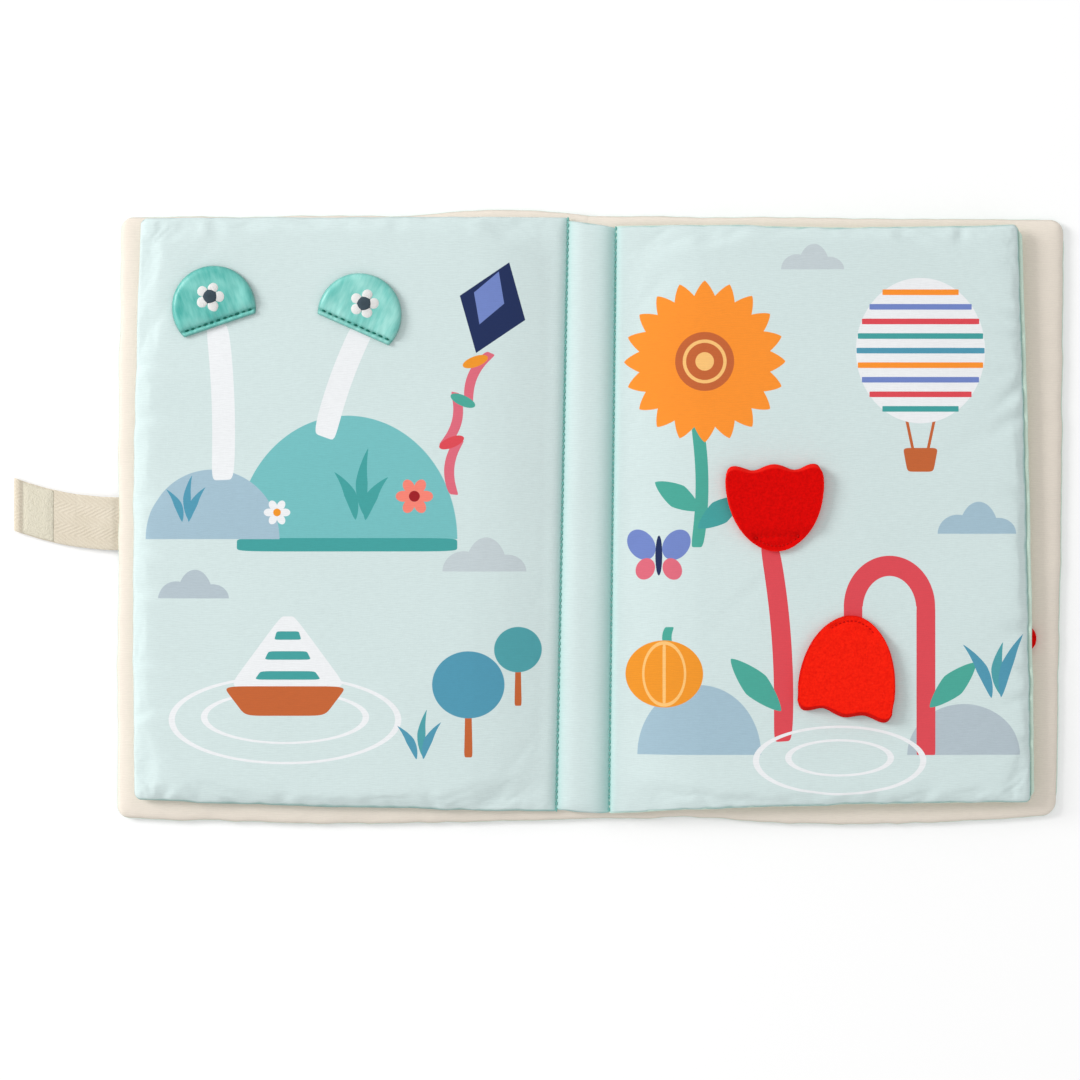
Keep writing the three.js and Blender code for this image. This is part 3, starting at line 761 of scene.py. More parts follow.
    @staticmethod
    def _pumpkin(x: float, y: float) -> list[Motif]:
        """A ribbed pumpkin with a stalk, its middle at x, y."""
        return [
            block(x + 1.0, y + 13.5, 3.6, 8.0, Ink.LEAF, 0.0, 8.0, 0.0, 0.6),
            oval(x, y, 29.0, 25.0, Ink.AMBER),
            ring(x, y, 15.5, 23.0, Ink.BUTTER, 1.2),
            block(x, y, 1.2, 22.0, Ink.BUTTER),
        ]

    @staticmethod
    def _butterfly(x: float, y: float) -> list[Motif]:
        """A butterfly with plain wings, its body at x, y."""
        made = []
        for side in (-1, 1):
            made.append(oval(x + side * 6.5, y + 4.0, 9.5, 12.5, Ink.PERIWINKLE, -38.0 * side))
            made.append(oval(x + side * 5.0, y - 5.0, 7.0, 8.5, Ink.ROSE, 30.0 * side))
        made.append(oval(x, y, 2.6, 15.0, Ink.NAVY))
        return made


def print_page(s: Shader, point: object, cloth: object, motifs: Sequence[Motif]) -> bpy.types.NodeSocket:
    """Prints shapes over a cloth colour.

    Args:
        s: The material's shader helper.
        point: The cloth's point in metres.
        cloth: The colour that is printed on.
        motifs: The shapes, lowest first.

    Returns:
        The printed colour.
    """
    page = s.scaled(point, 1 / MM)
    colour = cloth
    for motif in motifs:
        if motif.stamp in (Stamp.OVAL, Stamp.DOME):
            group, own = Groups.oval_stamp(), {"Foot": motif.foot}
        elif motif.stamp is Stamp.RING:
            group, own = Groups.ring_stamp(), {"Line": motif.line / sum(motif.half)}
        else:
            group = Groups.block_stamp()
            own = {"Power": motif.power, "Taper": motif.taper, "Bend": motif.bend}
        centre, half, turn = (*motif.centre, 0.0), (*motif.half, 1.0), (0.0, 0.0, math.radians(motif.turn))
        crisp = max(motif.half) / PRINT_EDGE
        made = s.group(group, Point=page, Centre=centre, Half=half, Turn=turn, Crisp=crisp, **own)
        colour = s.blend(made.outputs["Mask"], colour, motif.ink.value)
    return colour


def open_material(name: str) -> tuple[bpy.types.Material, Shader, bpy.types.Node]:
    """Starts a material.

    Args:
        name: The material's name.

    Returns:
        The material, its shader helper and its Principled shader.
    """
    material = bpy.data.materials.new(name)
    material.use_nodes = True
    s = Shader(material.node_tree)
    return material, s, material.node_tree.nodes["Principled BSDF"]


@dataclass(frozen=True)
class Cotton:
    """Plain woven cotton, printed or plain.

    Attributes:
        name: The material's name.
        colour: The dyed colour.
        rib: How strongly its ribs show in its colour.
        seam: Colour of the darker line painted along a sewn side, as shade where the cloth turns into its
            seam.
        seam_shade_width: Width of that painted shade line, 0 for none.
        deep: Colour of the painted shade in the valley of a stitched fold line.
        valley_shade_width: Width of that painted valley shade, 0 for none.
        motifs: What is printed on it.
    """

    name: str
    colour: Colour
    rib: float = 0.12
    # Painted shade colours: the line along a sewn side, and the valley of a stitched fold line.
    seam: Colour = ink(132, 184, 176)
    seam_shade_width: float = 0.0
    deep: Colour = ink(142, 206, 199)
    valley_shade_width: float = 0.0
    motifs: tuple[Motif, ...] = ()

    def build(self) -> bpy.types.Material:
        """Builds the material."""
        material, s, face = open_material(self.name)
        point = s.cloth_point()
        weave = s.group(Groups.weave(), Point=point).outputs
        creases = s.group(Groups.crumple(), Point=point).outputs["Height"]
        colour = self.colour
        if self.motifs:
            colour = print_page(s, point, self.colour, self.motifs)
        tone = s.math("MULTIPLY_ADD", weave["Tone"], self.rib, 1.0 - self.rib * 0.5)
        broad = s.streaks(point, (18, 26, 1))
        tone = s.math("MULTIPLY", tone, s.math("MULTIPLY_ADD", broad, 0.06, 0.97))
        colour = s.blend(1.0, colour, s.grey(tone), "MULTIPLY")
        # A darker line of painted shade along the sewn sides.
        if self.seam_shade_width > 0:
            colour = self._seam(s, point, colour)
        # Painted shade in the valley beside a stitched fold line.
        if self.valley_shade_width > 0:
            colour = s.blend(s.math("MULTIPLY", s.near_fold(self.valley_shade_width), 0.75), colour, self.deep)
        fine = s.bump(weave["Height"], 0.07 * MM, 0.5)
        s.fill(
            face,
            Base_Color=colour,
            Roughness=s.math("MULTIPLY_ADD", weave["Tone"], 0.12, 0.82),
            Normal=s.bump(creases, 0.45 * MM, 0.5, fine),
            Sheen_Weight=0.06,
            Specular_IOR_Level=0.25,
        )
        return material

    def _seam(self, s: Shader, point: object, colour: object) -> bpy.types.NodeSocket:
        """Paints a line of shade where the cloth turns into its seam, broken up where it is faint."""
        wander = s.math("MULTIPLY_ADD", s.noise(point, 220.0), 1.2, 0.4)
        share = s.near_rim(s.math("MULTIPLY", wander, self.seam_shade_width))
        patches = s.math("MULTIPLY_ADD", s.noise(point, 130.0, 1.0), 3.0, -2.0)
        shown = s.math("MULTIPLY_ADD", s.attribute(SEAM_SHADING), 2.5, patches, limit=True)
        shown = s.math("MULTIPLY", shown, s.math("MULTIPLY", share, 0.9))
        return s.blend(shown, colour, self.seam)


@dataclass(frozen=True)
class Satin:
    """Glossy satin whose floats catch the light in streaks.

    Attributes:
        name: The material's name.
        colour: The dyed colour.
        light: The painted highlight, laid in streaks where the cloth would catch the light.
        deep: The painted shade in its folds and along its edge.
        edge: Width of the painted shade along its edge.
        valley: Width of the painted shade in its stitched valley.
    """

    name: str
    colour: Colour
    light: Colour
    deep: Colour
    edge: float = 0.9 * MM
    valley: float = 0.45 * MM

    def build(self) -> bpy.types.Material:
        """Builds the material."""
        material, s, face = open_material(self.name)
        point = s.cloth_point()
        floats = s.streaks(point, (4200, 420, 1))
        streaks = s.streaks(point, (700, 150, 1), 3.0, 0.35)
        pools = s.streaks(point, (130, 90, 1), turn=-0.5)
        # Painted highlight: streaks of lighter colour where the satin's floats would catch the light.
        shine = s.around(streaks, 1.0, s.around(pools, 2.4, 0.45), limit=True)
        shine = s.around(floats, 0.4, shine, limit=True)
        colour = s.blend(s.math("MULTIPLY", shine, 0.9), self.colour, self.light)
        # Painted shade along the edge and in the stitched valley.
        colour = s.blend(s.math("MULTIPLY", s.near_rim(self.edge), 0.6), colour, self.deep)
        colour = s.blend(s.math("MULTIPLY", s.near_fold(self.valley), 0.55), colour, self.deep)
        fine = s.bump(floats, 0.04 * MM, 0.5)
        s.fill(
            face,
            Base_Color=colour,
            Roughness=s.math("MULTIPLY_ADD", floats, 0.2, 0.28),
            Normal=s.bump(streaks, 0.22 * MM, 0.5, fine),
            Sheen_Weight=0.2,
            Anisotropic=0.5,
            Specular_IOR_Level=0.55,
        )
        return material


@dataclass(frozen=True)
class Felt:
    """Thick wool felt.

    Attributes:
        name: The material's name.
        colour: The dyed colour.
        deep: The darker colour of its uneven mottle, which also stands as painted shade between the tufts.
        cut: The colour painted along its cut edge: a painted highlight where it is lighter than the felt,
            painted shade where it is darker.
        edge: Width of that painted edge colour.
        fibres: Fibres in a metre.
    """

    name: str
    colour: Colour
    deep: Colour
    cut: Colour
    edge: float = 0.7 * MM
    fibres: float = 1150.0

    def build(self) -> bpy.types.Material:
        """Builds the material."""
        material, s, face = open_material(self.name)
        point = s.node("ShaderNodeTexCoord").outputs["Object"]
        fibres = s.group(Groups.fibres(), Point=point, Fibre=self.fibres).outputs
        clumps = s.noise(point, 620.0, 3.0)
        tone = s.around(clumps, 0.7, s.around(fibres["Tone"], 1.3, 0.2), limit=True)
        whole = s.blend(tone, self.colour, self.deep)
        coarse = s.bump(clumps, 0.35 * MM, 0.5)
        # The cut edge takes its painted highlight or painted shade.
        s.fill(
            face,
            Base_Color=s.blend(s.math("MULTIPLY", s.near_rim(self.edge), 0.85), whole, self.cut),
            Roughness=1.0,
            Normal=s.bump(fibres["Height"], 0.25 * MM, 0.6, coarse),
            Sheen_Weight=0.03,
            Sheen_Tint=(1.0, 0.2, 0.1, 1.0),
            Specular_IOR_Level=0.1,
        )
        return material


@dataclass(frozen=True)
class Thread:
    """Twisted sewing thread, or satin stitch laid side by side.

    Attributes:
        name: The material's name.
        colour: The thread's colour.
        ridges: Ridges per metre of the piece's map, along its U.
        slant: How the ridges lean, as a share of the V direction.
    """

    name: str
    colour: Colour
    ridges: float = 4200.0
    slant: float = 0.6

    def build(self) -> bpy.types.Material:
        """Builds the material."""
        material, s, face = open_material(self.name)
        axes = s.axes(s.cloth_point())
        along = s.math("MULTIPLY_ADD", axes[1], self.slant, axes[0])
        height = s.math("MULTIPLY_ADD", s.wave(along, 1 / self.ridges), 0.5, 0.5)
        # The grooves between the thread's ridges are painted darker, as shade.
        low = (*(value * 0.8 for value in self.colour[:3]), 1.0)
        s.fill(
            face,
            Base_Color=s.blend(height, low, self.colour),
            Roughness=s.math("MULTIPLY_ADD", height, -0.15, 0.65),
            Normal=s.bump(height, 0.07 * MM, 0.6),
            Specular_IOR_Level=0.12,
        )
        return material


@dataclass(frozen=True)
class Webbing:
    """Cotton webbing in a herringbone weave.

    Attributes:
        name: The material's name.
        colour: The thread's colour.
        valley: The darker colour of its uneven threads, and painted shade in the grooves between its ribs.
        rib: Distance between two ribs along the webbing.
        chevron: Width of one column of slanted ribs.
        slant: How steeply the ribs run along the webbing.
    """

    name: str
    colour: Colour
    valley: Colour
    rib: float = 2.3 * MM
    chevron: float = 3.9 * MM
    slant: float = 1.7

    def build(self) -> bpy.types.Material:
        """Builds the material."""
        material, s, face = open_material(self.name)
        point = s.cloth_point()
        axes = s.axes(point)
        column = s.math("PINGPONG", s.math("ADD", axes[0], self.chevron * 10.5), self.chevron)
        wander = s.math("MULTIPLY", s.noise(point, 500.0), 1.1 * MM)
        slanted = s.math("ADD", s.math("MULTIPLY_ADD", column, self.slant, axes[1]), wander)
        threads = s.streaks(point, (1500, 2400, 1), 3.0)
        ribs = s.math("MULTIPLY_ADD", s.wave(slanted, self.rib), 0.5, 0.5)
        height = s.math("MULTIPLY_ADD", threads, 0.7, ribs)
        tone = s.math("MULTIPLY_ADD", threads, 0.9, s.math("MULTIPLY_ADD", ribs, 0.24, -0.08))
        tone = s.around(s.noise(point, 120.0), 0.6, tone, limit=True)
        s.fill(
            face,
            Base_Color=s.blend(tone, self.valley, self.colour),
            Roughness=0.95,
            Normal=s.bump(height, 0.16 * MM, 0.6),
            Sheen_Weight=0.1,
            Specular_IOR_Level=0.2,
        )
        return material


@dataclass(frozen=True)
class HookTape:
    """The fine pile of hook and loop tape.

    Attributes:
        name: The material's name.
        colour: The pile's colour.
        valley: The colour of its ground, painted darker between the hooks as shade.
    """

    name: str
    colour: Colour
    valley: Colour

    def build(self) -> bpy.types.Material:
        """Builds the material."""
        material, s, face = open_material(self.name)
        point = s.cloth_point()
        cells = s.node("ShaderNodeTexVoronoi", {"Vector": point, "Scale": 1900.0}).outputs["Distance"]
        pile = s.math("SUBTRACT", 1.0, cells, limit=True)
        fuzz = s.noise(point, 1300.0, 4.0)
        tone = s.math("MULTIPLY_ADD", fuzz, 0.6, s.math("MULTIPLY", pile, 0.5), limit=True)
        s.fill(
            face,
            Base_Color=s.blend(tone, self.valley, self.colour),
            Roughness=0.85,
            Normal=s.bump(s.math("ADD", pile, fuzz), 0.25 * MM, 0.7),
            Specular_IOR_Level=0.3,
        )
        return material


class Finishes:
    """Every finish of the book, each built once."""

    def __init__(self) -> None:
        """Builds the materials."""
        aqua = ink(211, 227, 226)
        self.cream = Cotton("cream cotton", ink(236, 226, 213), 0.07).build()
        # The pages and the gutter take a painted shade line along their seams and painted shade in their
        # stitched valleys.
        page = {"rib": 0.09, "seam_shade_width": 0.9 * MM, "valley_shade_width": 1.1 * MM}
        left, right = tuple(Artwork.left_page()), tuple(Artwork.right_page())
        self.left_print = Cotton("printed cotton, left page", aqua, motifs=left, **page).build()
        self.right_print = Cotton("printed cotton, right page", aqua, motifs=right, **page).build()
        self.aqua = Cotton("aqua cotton", aqua, **page).build()
        gutter = {"rib": 0.09, "seam_shade_width": 0.7 * MM, "valley_shade_width": 1.2 * MM}
        self.gutter = Cotton("aqua cotton, gutter", aqua, **gutter).build()
        self.mint = Cotton("mint cotton", ink(212, 234, 219), 0.08).build()
        teals = ink(60, 170, 160), ink(140, 216, 206), ink(40, 136, 126)
        self.satin = Satin("turquoise satin", *teals).build()
        pale_teals = ink(98, 190, 180), ink(168, 230, 221), ink(52, 150, 140)
        self.pale_satin = Satin("pale turquoise satin", *pale_teals).build()
        # One red felt in two painted copies: darker for the upper flap and the tab, as painted shade, and
        # lighter for the lower flap, as painted light.
        self.felt = Felt("red felt", ink(228, 4, 2), ink(188, 0, 0), ink(240, 26, 16)).build()
        self.lit_felt = Felt("bright red felt", ink(255, 34, 12), ink(222, 8, 3), ink(206, 6, 4)).build()
        self.teal_thread = Thread("dark teal thread", ink(126, 193, 184)).build()
        self.dark_thread = Thread("deep teal thread", ink(32, 120, 106)).build()
        self.red_thread = Thread("red thread", ink(214, 8, 4)).build()
        self.cream_thread = Thread("cream thread", ink(230, 221, 203)).build()
        self.white_silk = Thread("white embroidery", ink(242, 242, 240), 2900.0, 0.0).build()
        self.charcoal_silk = Thread("charcoal embroidery", ink(66, 82, 92), 2900.0, 0.0).build()
        self.webbing = Webbing("cream webbing", ink(238, 228, 210), ink(208, 196, 174)).build()
        self.tape = HookTape("hook tape", ink(234, 228, 210), ink(212, 205, 182)).build()


def filled(u: float, v: float, sides: Sequence[Vector], corners: Sequence[Vector]) -> Vector:
    """Fills a shape in smoothly between its four sides.

    Args:
        u: Share across.
        v: Share along.
        sides: A point each of the foot, right, head and left side, at that share of the side.
        corners: The four corners, round from foot left.

    Returns:
        The point inside the shape.
    """
    foot, right, head, left = sides
    a, b, c, d = corners
    across = foot * (1 - v) + head * v + left * (1 - u) + right * u
    return across - (a * (1 - u) * (1 - v) + b * u * (1 - v) + c * u * v + d * (1 - u) * v)


def mesh_piece(name: str, bm: bmesh.types.BMesh, material: bpy.types.Material) -> bpy.types.Object:
    """Turns an edited mesh into a shaded object in the scene.

    Args:
        name: The piece's name.
        bm: Its mesh, which is freed.
        material: Its finish.

    Returns:
        The new object.
    """
    data = bpy.data.meshes.new(name)
    bm.to_mesh(data)
    bm.free()
    data.materials.append(material)
    data.polygons.foreach_set("use_smooth", [True] * len(data.polygons))
    piece = bpy.data.objects.new(name, data)
    bpy.context.scene.collection.objects.link(piece)
    return piece


def grid_mesh(columns: int, rows: int, place: Place, flat: Callable[[float, float], Pair],
              values: dict[str, Callable[[float, float], float]] | None = None,
              face_down: bool = False) -> bmesh.types.BMesh:
    """Lays a grid of cloth over a shape.

    Args:
        columns: Cells across.
        rows: Cells along.
        place: Where the cloth's point at two shares lies.
        flat: The same point on the flat cloth, in metres.
        values: What the cloth's points carry for its finish, by name.
        face_down: Whether its outer side points down.

    Returns:
        The cloth, with its map and its values.
    """
    bm = bmesh.new()
    cloth_map = bm.loops.layers.uv.new(CLOTH_MAP)
    for name in values or {}:
        bm.verts.layers.float.new(name)
    bmesh.ops.create_grid(bm, x_segments=columns, y_segments=rows, size=0.5)
    shares = {vert: (vert.co.x + 0.5, vert.co.y + 0.5) for vert in bm.verts}
    flats = {vert: flat(*share) for vert, share in shares.items()}
    for face in bm.faces:
        for loop in face.loops:
            loop[cloth_map].uv = flats[loop.vert]
    for name, value in (values or {}).items():
        layer = bm.verts.layers.float[name]
        for vert, share in shares.items():
            vert[layer] = value(*share)
    for vert, share in shares.items():
        vert.co = place(*share)
    if face_down:
        bmesh.ops.reverse_faces(bm, faces=bm.faces[:])
    return bm


def slab_below(bm: bmesh.types.BMesh, under: Callable[[Vector], Vector], edge: float = 0.55 * MM) -> None:
    """Makes a sheet solid downwards and rounds its cut edge.

    Args:
        bm: The upper face, which becomes the whole slab.
        under: Where the lower face lies under a point of the upper one.
        edge: Radius of the rounded edge.
    """
    upper = set(bm.verts)
    bmesh.ops.extrude_face_region(bm, geom=bm.faces[:], use_keep_orig=True)
    lower = [vert for vert in bm.verts if vert not in upper]
    for vert in lower:
        vert.co = under(vert.co)
    bmesh.ops.recalc_face_normals(bm, faces=bm.faces[:])
    sharp = [
        item for item in bm.edges
        if len(item.link_faces) == 2 and item.calc_face_angle(0.0) > math.radians(50)
        and (item.verts[0] in upper) == (item.verts[1] in upper)
    ]
    bmesh.ops.bevel(
        bm, geom=sharp, offset=edge, offset_type="OFFSET", segments=3, profile=0.5,
        affect="EDGES", material=-1, clamp_overlap=True,
    )


def finish_cloth(piece: bpy.types.Object, thickness: float) -> None:
    """Gives a cloth its thickness, inwards from its outer side.

    Args:
        piece: The cloth.
        thickness: Its thickness.
    """
    wall = piece.modifiers.new("thickness", "SOLIDIFY")
    wall.thickness = thickness
    wall.offset = -1.0


@dataclass(frozen=True)
class Side:
    """One side of a padded panel.

    Attributes:
        rise: Width over which the pad reaches its full height.
        lip: Beside a fold line, the narrow width over which it leaves the stitches.
        quick: The share of its height that it gains over the lip.
        bow: How far its middle stands out.
        late: The share of its length before the bow starts.
        ruffle: Size of the small waves along its seam.
        pucker: Depth of the puckers that run in from its seam.
        fold: Whether it is stitched down along a fold line.
        joined: Whether its cloth simply runs on into the next panel's.
        overhang: How far the back cloth shows past the seam.
        tint: How much of the painted shade line along the seam shows, from 0 to 1.
        valley: Factor on the width of the painted shade along a fold line.
    """

    rise: float
    lip: float = 6 * MM
    quick: float = 1.0
    bow: float = 0.0
    late: float = 0.0
    ruffle: float = 0.0
    pucker: float = 0.0
    fold: bool = False
    joined: bool = False
    overhang: float = 0.0
    tint: float = 0.0
    valley: float = 1.0


@dataclass(frozen=True)
class Crease:
    """A soft fold across a panel's front cloth, in millimetres of the page.

    Attributes:
        start: Where it begins.
        end: Where it runs out.
        depth: How deep it is at its start.
        width: Its half width at its start; it widens to twice that.
    """

    start: Pair
    end: Pair
    depth: float
    width: float

    def sink(self, x: float, y: float) -> float:
        """How far the cloth sinks at a point: a valley with a low ridge beside it."""
        start = Vector(self.start)
        run = Vector(self.end) - start
        point = Vector((x, y)) / MM - start
        along = clamp(point.dot(run) / run.length_squared)
        width = self.width * (1 + along)
        beside = point.cross(run) / run.length / width
        beyond = (point - run * along).length / width
        if beyond > 4:
            return 0.0
        past = math.exp(-(max(0.0, beyond - abs(beside)) ** 2))
        profile = math.exp(-beside * beside) - 0.6 * math.exp(-((beside - 1.5) ** 2))
        return self.depth * MM * smooth(1.2 - 1.2 * along) * profile * past


LEFT_CREASES = (
    ((-150, 57), (-112, 54), 0.9, 2.0),
    ((-151, 36), (-124, 39), 0.7, 1.8),
    ((-152, 8), (-116, 2), 0.9, 2.1),
    ((-152, -12), (-122, -14), 0.8, 1.8),
    ((-152, -28), (-116, -24), 0.8, 2.1),
    ((-152, -53), (-126, -57), 0.7, 1.8),
    ((-151, -74), (-130, -68), 0.7, 1.7),
    ((-141, -108), (-134, -92), 0.8, 1.5),
    ((-96, -110), (-91, -92), 0.7, 1.6),
    ((-61, -111), (-63, -94), 0.7, 1.5),
    ((-38, -111), (-44, -92), 0.7, 1.6),
    ((-121, 112), (-119, 96), 0.5, 1.7),
    ((-52, 112), (-56, 97), 0.5, 1.7),
)
RIGHT_CREASES = (
    ((181, 75), (163, 77), 0.8, 1.7),
    ((181, 68), (150, 66), 0.8, 1.8),
    ((182, 52), (146, 20), 1.3, 2.2),
    ((182, 54), (154, 53), 1.0, 2.0),
    ((182, 40), (136, 14), 1.3, 2.2),
    ((183, 8), (164, 10), 0.7, 1.7),
    ((184, -40), (160, -44), 0.9, 2.0),
    ((184, -57), (158, -52), 0.9, 1.9),
    ((184, -66), (160, -70), 0.9, 1.9),
    ((184, -84), (166, -78), 0.8, 1.7),
    ((84, -22), (58, -48), 0.9, 1.7),
    ((128, -111), (125, -95), 0.7, 1.6),
    ((142, -111), (147, -95), 0.7, 1.6),
    ((96, -112), (92, -98), 0.6, 1.6),
    ((158, 109), (154, 94), 0.7, 1.6),
    ((134, 109), (137, 95), 0.6, 1.6),
)


def creases_of(table: Sequence[tuple[Pair, Pair, float, float]]) -> tuple[Crease, ...]:
    """Makes a table of starts, ends, depths and widths into creases."""
    return tuple(Crease(*row) for row in table)


@dataclass(frozen=True)
class Spot:
    """A point of a panel.

    Attributes:
        x: Its X.
        y: Its Y.
        away: Its distance to each side.
        edges: The same along the cloth's grid, before the corners are rounded.
    """

    x: float
    y: float
    away: tuple[float, float, float, float]
    edges: tuple[float, float, float, float]


@dataclass
class PaddedPanel:
    """A sewn panel of two cloths over wadding, drawn in along its seams.

    Its sides are foot, right, head and left, and its corners go round from foot left.

    Attributes:
        name: The first part of its pieces' names.
        corners: Its four corners.
        sides: Its four sides.
        base: Height that its back rests on.
        seam: Height of its seam.
        fold_seam: Height of its cloths at a fold line.
        top: Height of its middle.
        corner: Radius of its corners.
        cell: Mean size of a grid cell; cells are smaller near the sides.
        seed: Which noise it reads.
        under_rise: Width over which its back reaches the ground, as a share of the sides' rise.
        creases: Folds across its front.
        waist: An X at which it is stitched through, if any, and the width of that valley.
        dent: How far its back is pressed in at a point, if anywhere.
        cap: How far the simulation may move a point.
        still: Distance from a fold line within which it moves points by less.
        loose: Distance from a seam over which the cloth is cut with less room.
        cloth_gap: How far the back cloth stays below the front one.
        spots: The points that are worked out already, by their shares.
    """

    name: str
    corners: tuple[Pair, Pair, Pair, Pair]
    sides: tuple[Side, Side, Side, Side]
    base: float
    seam: float
    fold_seam: float
    top: float
    corner: float
    cell: float
    seed: float
    under_rise: float = 0.4
    creases: tuple[Crease, ...] = ()
    waist: Pair | None = None
    dent: Callable[[float, float], float] | None = None
    cap: float = 1.1 * MM
    still: float = 24 * MM
    loose: float = 7 * MM
    cloth_gap: float = 0.45 * MM
    spots: dict[Pair, Spot] = field(default_factory=dict)

    def __post_init__(self) -> None:
        """Works out the panel's mean width and height."""
        foot_left, foot_right, head_right, head_left = (Vector(c) for c in self.corners)
        self.width = ((foot_right - foot_left).length + (head_right - head_left).length) / 2
        self.height = ((head_left - foot_left).length + (head_right - foot_right).length) / 2

    @staticmethod
    def spread(share: float) -> float:
        """Draws the grid's lines together towards both ends."""
        return share - 0.09 * math.sin(2 * math.pi * share)

    def rounded(self, u: float, v: float) -> Pair:
        """Pulls the grid's corners round, so that no sewn corner stays square.

        Args:
            u: Share across.
            v: Share along.

        Returns:
            The two shares after rounding.
        """
        right, up = u > 0.5, v > 0.5
        from_x = (1 - u if right else u) * self.width
        from_y = (1 - v if up else v) * self.height
        beside = self.sides[1 if right else 3]
        radius = self.corner * (0.25 if beside.fold else 1.0)
        if beside.joined or from_x >= radius or from_y >= radius:
            return u, v
        a, b = 1 - from_x / radius, 1 - from_y / radius
        from_x = radius * (1 - a * math.sqrt(1 - b * b / 2))
        from_y = radius * (1 - b * math.sqrt(1 - a * a / 2))
        u = 1 - from_x / self.width if right else from_x / self.width
        v = 1 - from_y / self.height if up else from_y / self.height
        return u, v

    def outline(self, number: int, share: float) -> Vector:
        """A point on one side, between its two corners, with its bow and its small waves."""
        order = ((0, 1), (1, 2), (3, 2), (0, 3))[number]
        outward = (Vector((0, -1)), Vector((1, 0)), Vector((0, 1)), Vector((-1, 0)))[number]
        start, end = (Vector(self.corners[index]) for index in order)
        side = self.sides[number]
        length = (end - start).length
        window = min(1.0, 6 * share, 6 * (1 - share))
        waves = ripple(share * length, number, self.seed, 17 * MM)
        waves += 0.8 * ripple(share * length, number, self.seed + 3, 7 * MM)
        bowed = max(0.0, share - side.late) / (1 - side.late)
        out = side.bow * (1 - (2 * bowed - 1) ** 2) + side.ruffle * waves * window
        return start.lerp(end, share) + outward * out

    def spot(self, u: float, v: float) -> Spot:
        """The panel's outline filled in smoothly between its four sides."""
        key = (u, v)
        if key in self.spots:
            return self.spots[key]
        u, v = self.spread(u), self.spread(v)
        edges = (v * self.height, (1 - u) * self.width, (1 - v) * self.height, u * self.width)
        u, v = self.rounded(u, v)
        sides = [self.outline(number, share) for number, share in enumerate((u, v, u, v))]
        point = filled(u, v, sides, [Vector(corner) for corner in self.corners])
        away = (v * self.height, (1 - u) * self.width, (1 - v) * self.height, u * self.width)
        self.spots[key] = Spot(point.x, point.y, away, edges)
        return self.spots[key]

    def flat(self, u: float, v: float) -> Pair:
        """The cloth's own point, in metres of the page."""
        spot = self.spot(u, v)
        return spot.x, spot.y

    def nearest(self, u: float, v: float) -> tuple[float, Side]:
        """The nearest sewn side and the distance to it."""
        away = self.spot(u, v).away
        open_sides = [n for n, side in enumerate(self.sides) if not (side.fold or side.joined)]
        distance, number = min((away[n], n) for n in open_sides)
        return min(distance, self.spot(u, v).edges[number]), self.sides[number]

    def rim(self, u: float, v: float) -> float:
        """Distance to the nearest sewn side."""
        return self.nearest(u, v)[0]

    def tint(self, u: float, v: float) -> float:
        """How much of the painted shade line along the seam shows at the nearest side."""
        return self.nearest(u, v)[1].tint

    def fold(self, u: float, v: float) -> float:
        """Distance to the nearest side that is stitched down, shorter beside a wide valley."""
        away = self.spot(u, v).away
        return min((d / side.valley for d, side in zip(away, self.sides) if side.fold), default=1.0)

    def fullness(self, spot: Spot, reach: float) -> Pair:
        """How full the pad is at a point.

        Args:
            spot: The point.
            reach: Factor on the sewn sides' rise.

        Returns:
            The share of its full height by its sewn sides, and the same by its fold lines.
        """
        sewn = [
            1.0 if side.joined or side.fold else clamp(away / (side.rise * reach))
            for away, side in zip(spot.away, self.sides)
        ]
        across, along = 1 - min(sewn[1], sewn[3]), 1 - min(sewn[0], sewn[2])
        folds = [
            side.quick * steep_rise(away / side.lip) + (1 - side.quick) * soft_rise(away / side.rise)
            for away, side in zip(spot.away, self.sides) if side.fold
        ]
        cut = min(
            clamp(edge / (side.rise * reach))
            for edge, side in zip(spot.edges, self.sides) if not (side.joined or side.fold)
        )
        return min(cut, 1 - (across ** 5 + along ** 5) ** 0.2), min(folds, default=1.0)

    def lap(self, spot: Spot) -> float:
        """How far a cloth gives way where it laps under or over the next panel's."""
        away = min((d for d, side in zip(spot.away, self.sides) if side.joined), default=1.0)
        return 0.3 * MM * (1 - smooth(away / OVERLAP))

    def puckers(self, spot: Spot) -> float:
        """Depth of the small puckers that the seams draw into the front cloth."""
        depth = 0.0
        for number, (away, side) in enumerate(zip(spot.away, self.sides)):
            if side.pucker <= 0 or away > 40 * MM:
                continue
            along = spot.x if number in (0, 2) else spot.y
            phase = ripple(along, away * 0.3, self.seed + number, 6.5 * MM)
            sharp = max(0.0, phase) ** 1.4 + 0.5 * abs(ripple(along, away, self.seed + 9, 2.8 * MM))
            reach = 3.5 * MM + 9 * MM * abs(ripple(along, 0, self.seed + 5, 23 * MM))
            window = math.exp(-away / reach) * smooth(away / (0.9 * MM))
            depth += side.pucker * sharp * window
        return depth

    def front(self, u: float, v: float) -> Vector:
        """A point of the front cloth."""
        spot = self.spot(u, v)
        share, fold = self.fullness(spot, 1.0)
        rim = mix(self.fold_seam, self.seam, fold)
        crest = mix(self.fold_seam, self.top, fold)
        x, y = spot.x, spot.y
        swell = 1 + 0.05 * ripple(x, y, self.seed + 1, 46 * MM)
        swell += 0.03 * ripple(x, y, self.seed + 2, 19 * MM)
        z = rim + (crest - rim) * round_rise(share) * swell
        z -= self.puckers(spot) * clamp(2 * fold) + self.lap(spot)
        z -= sum(crease.sink(x, y) for crease in self.creases) * round_rise(share * 2)
        return Vector((x, y, min(z, self.top + SWELL)))

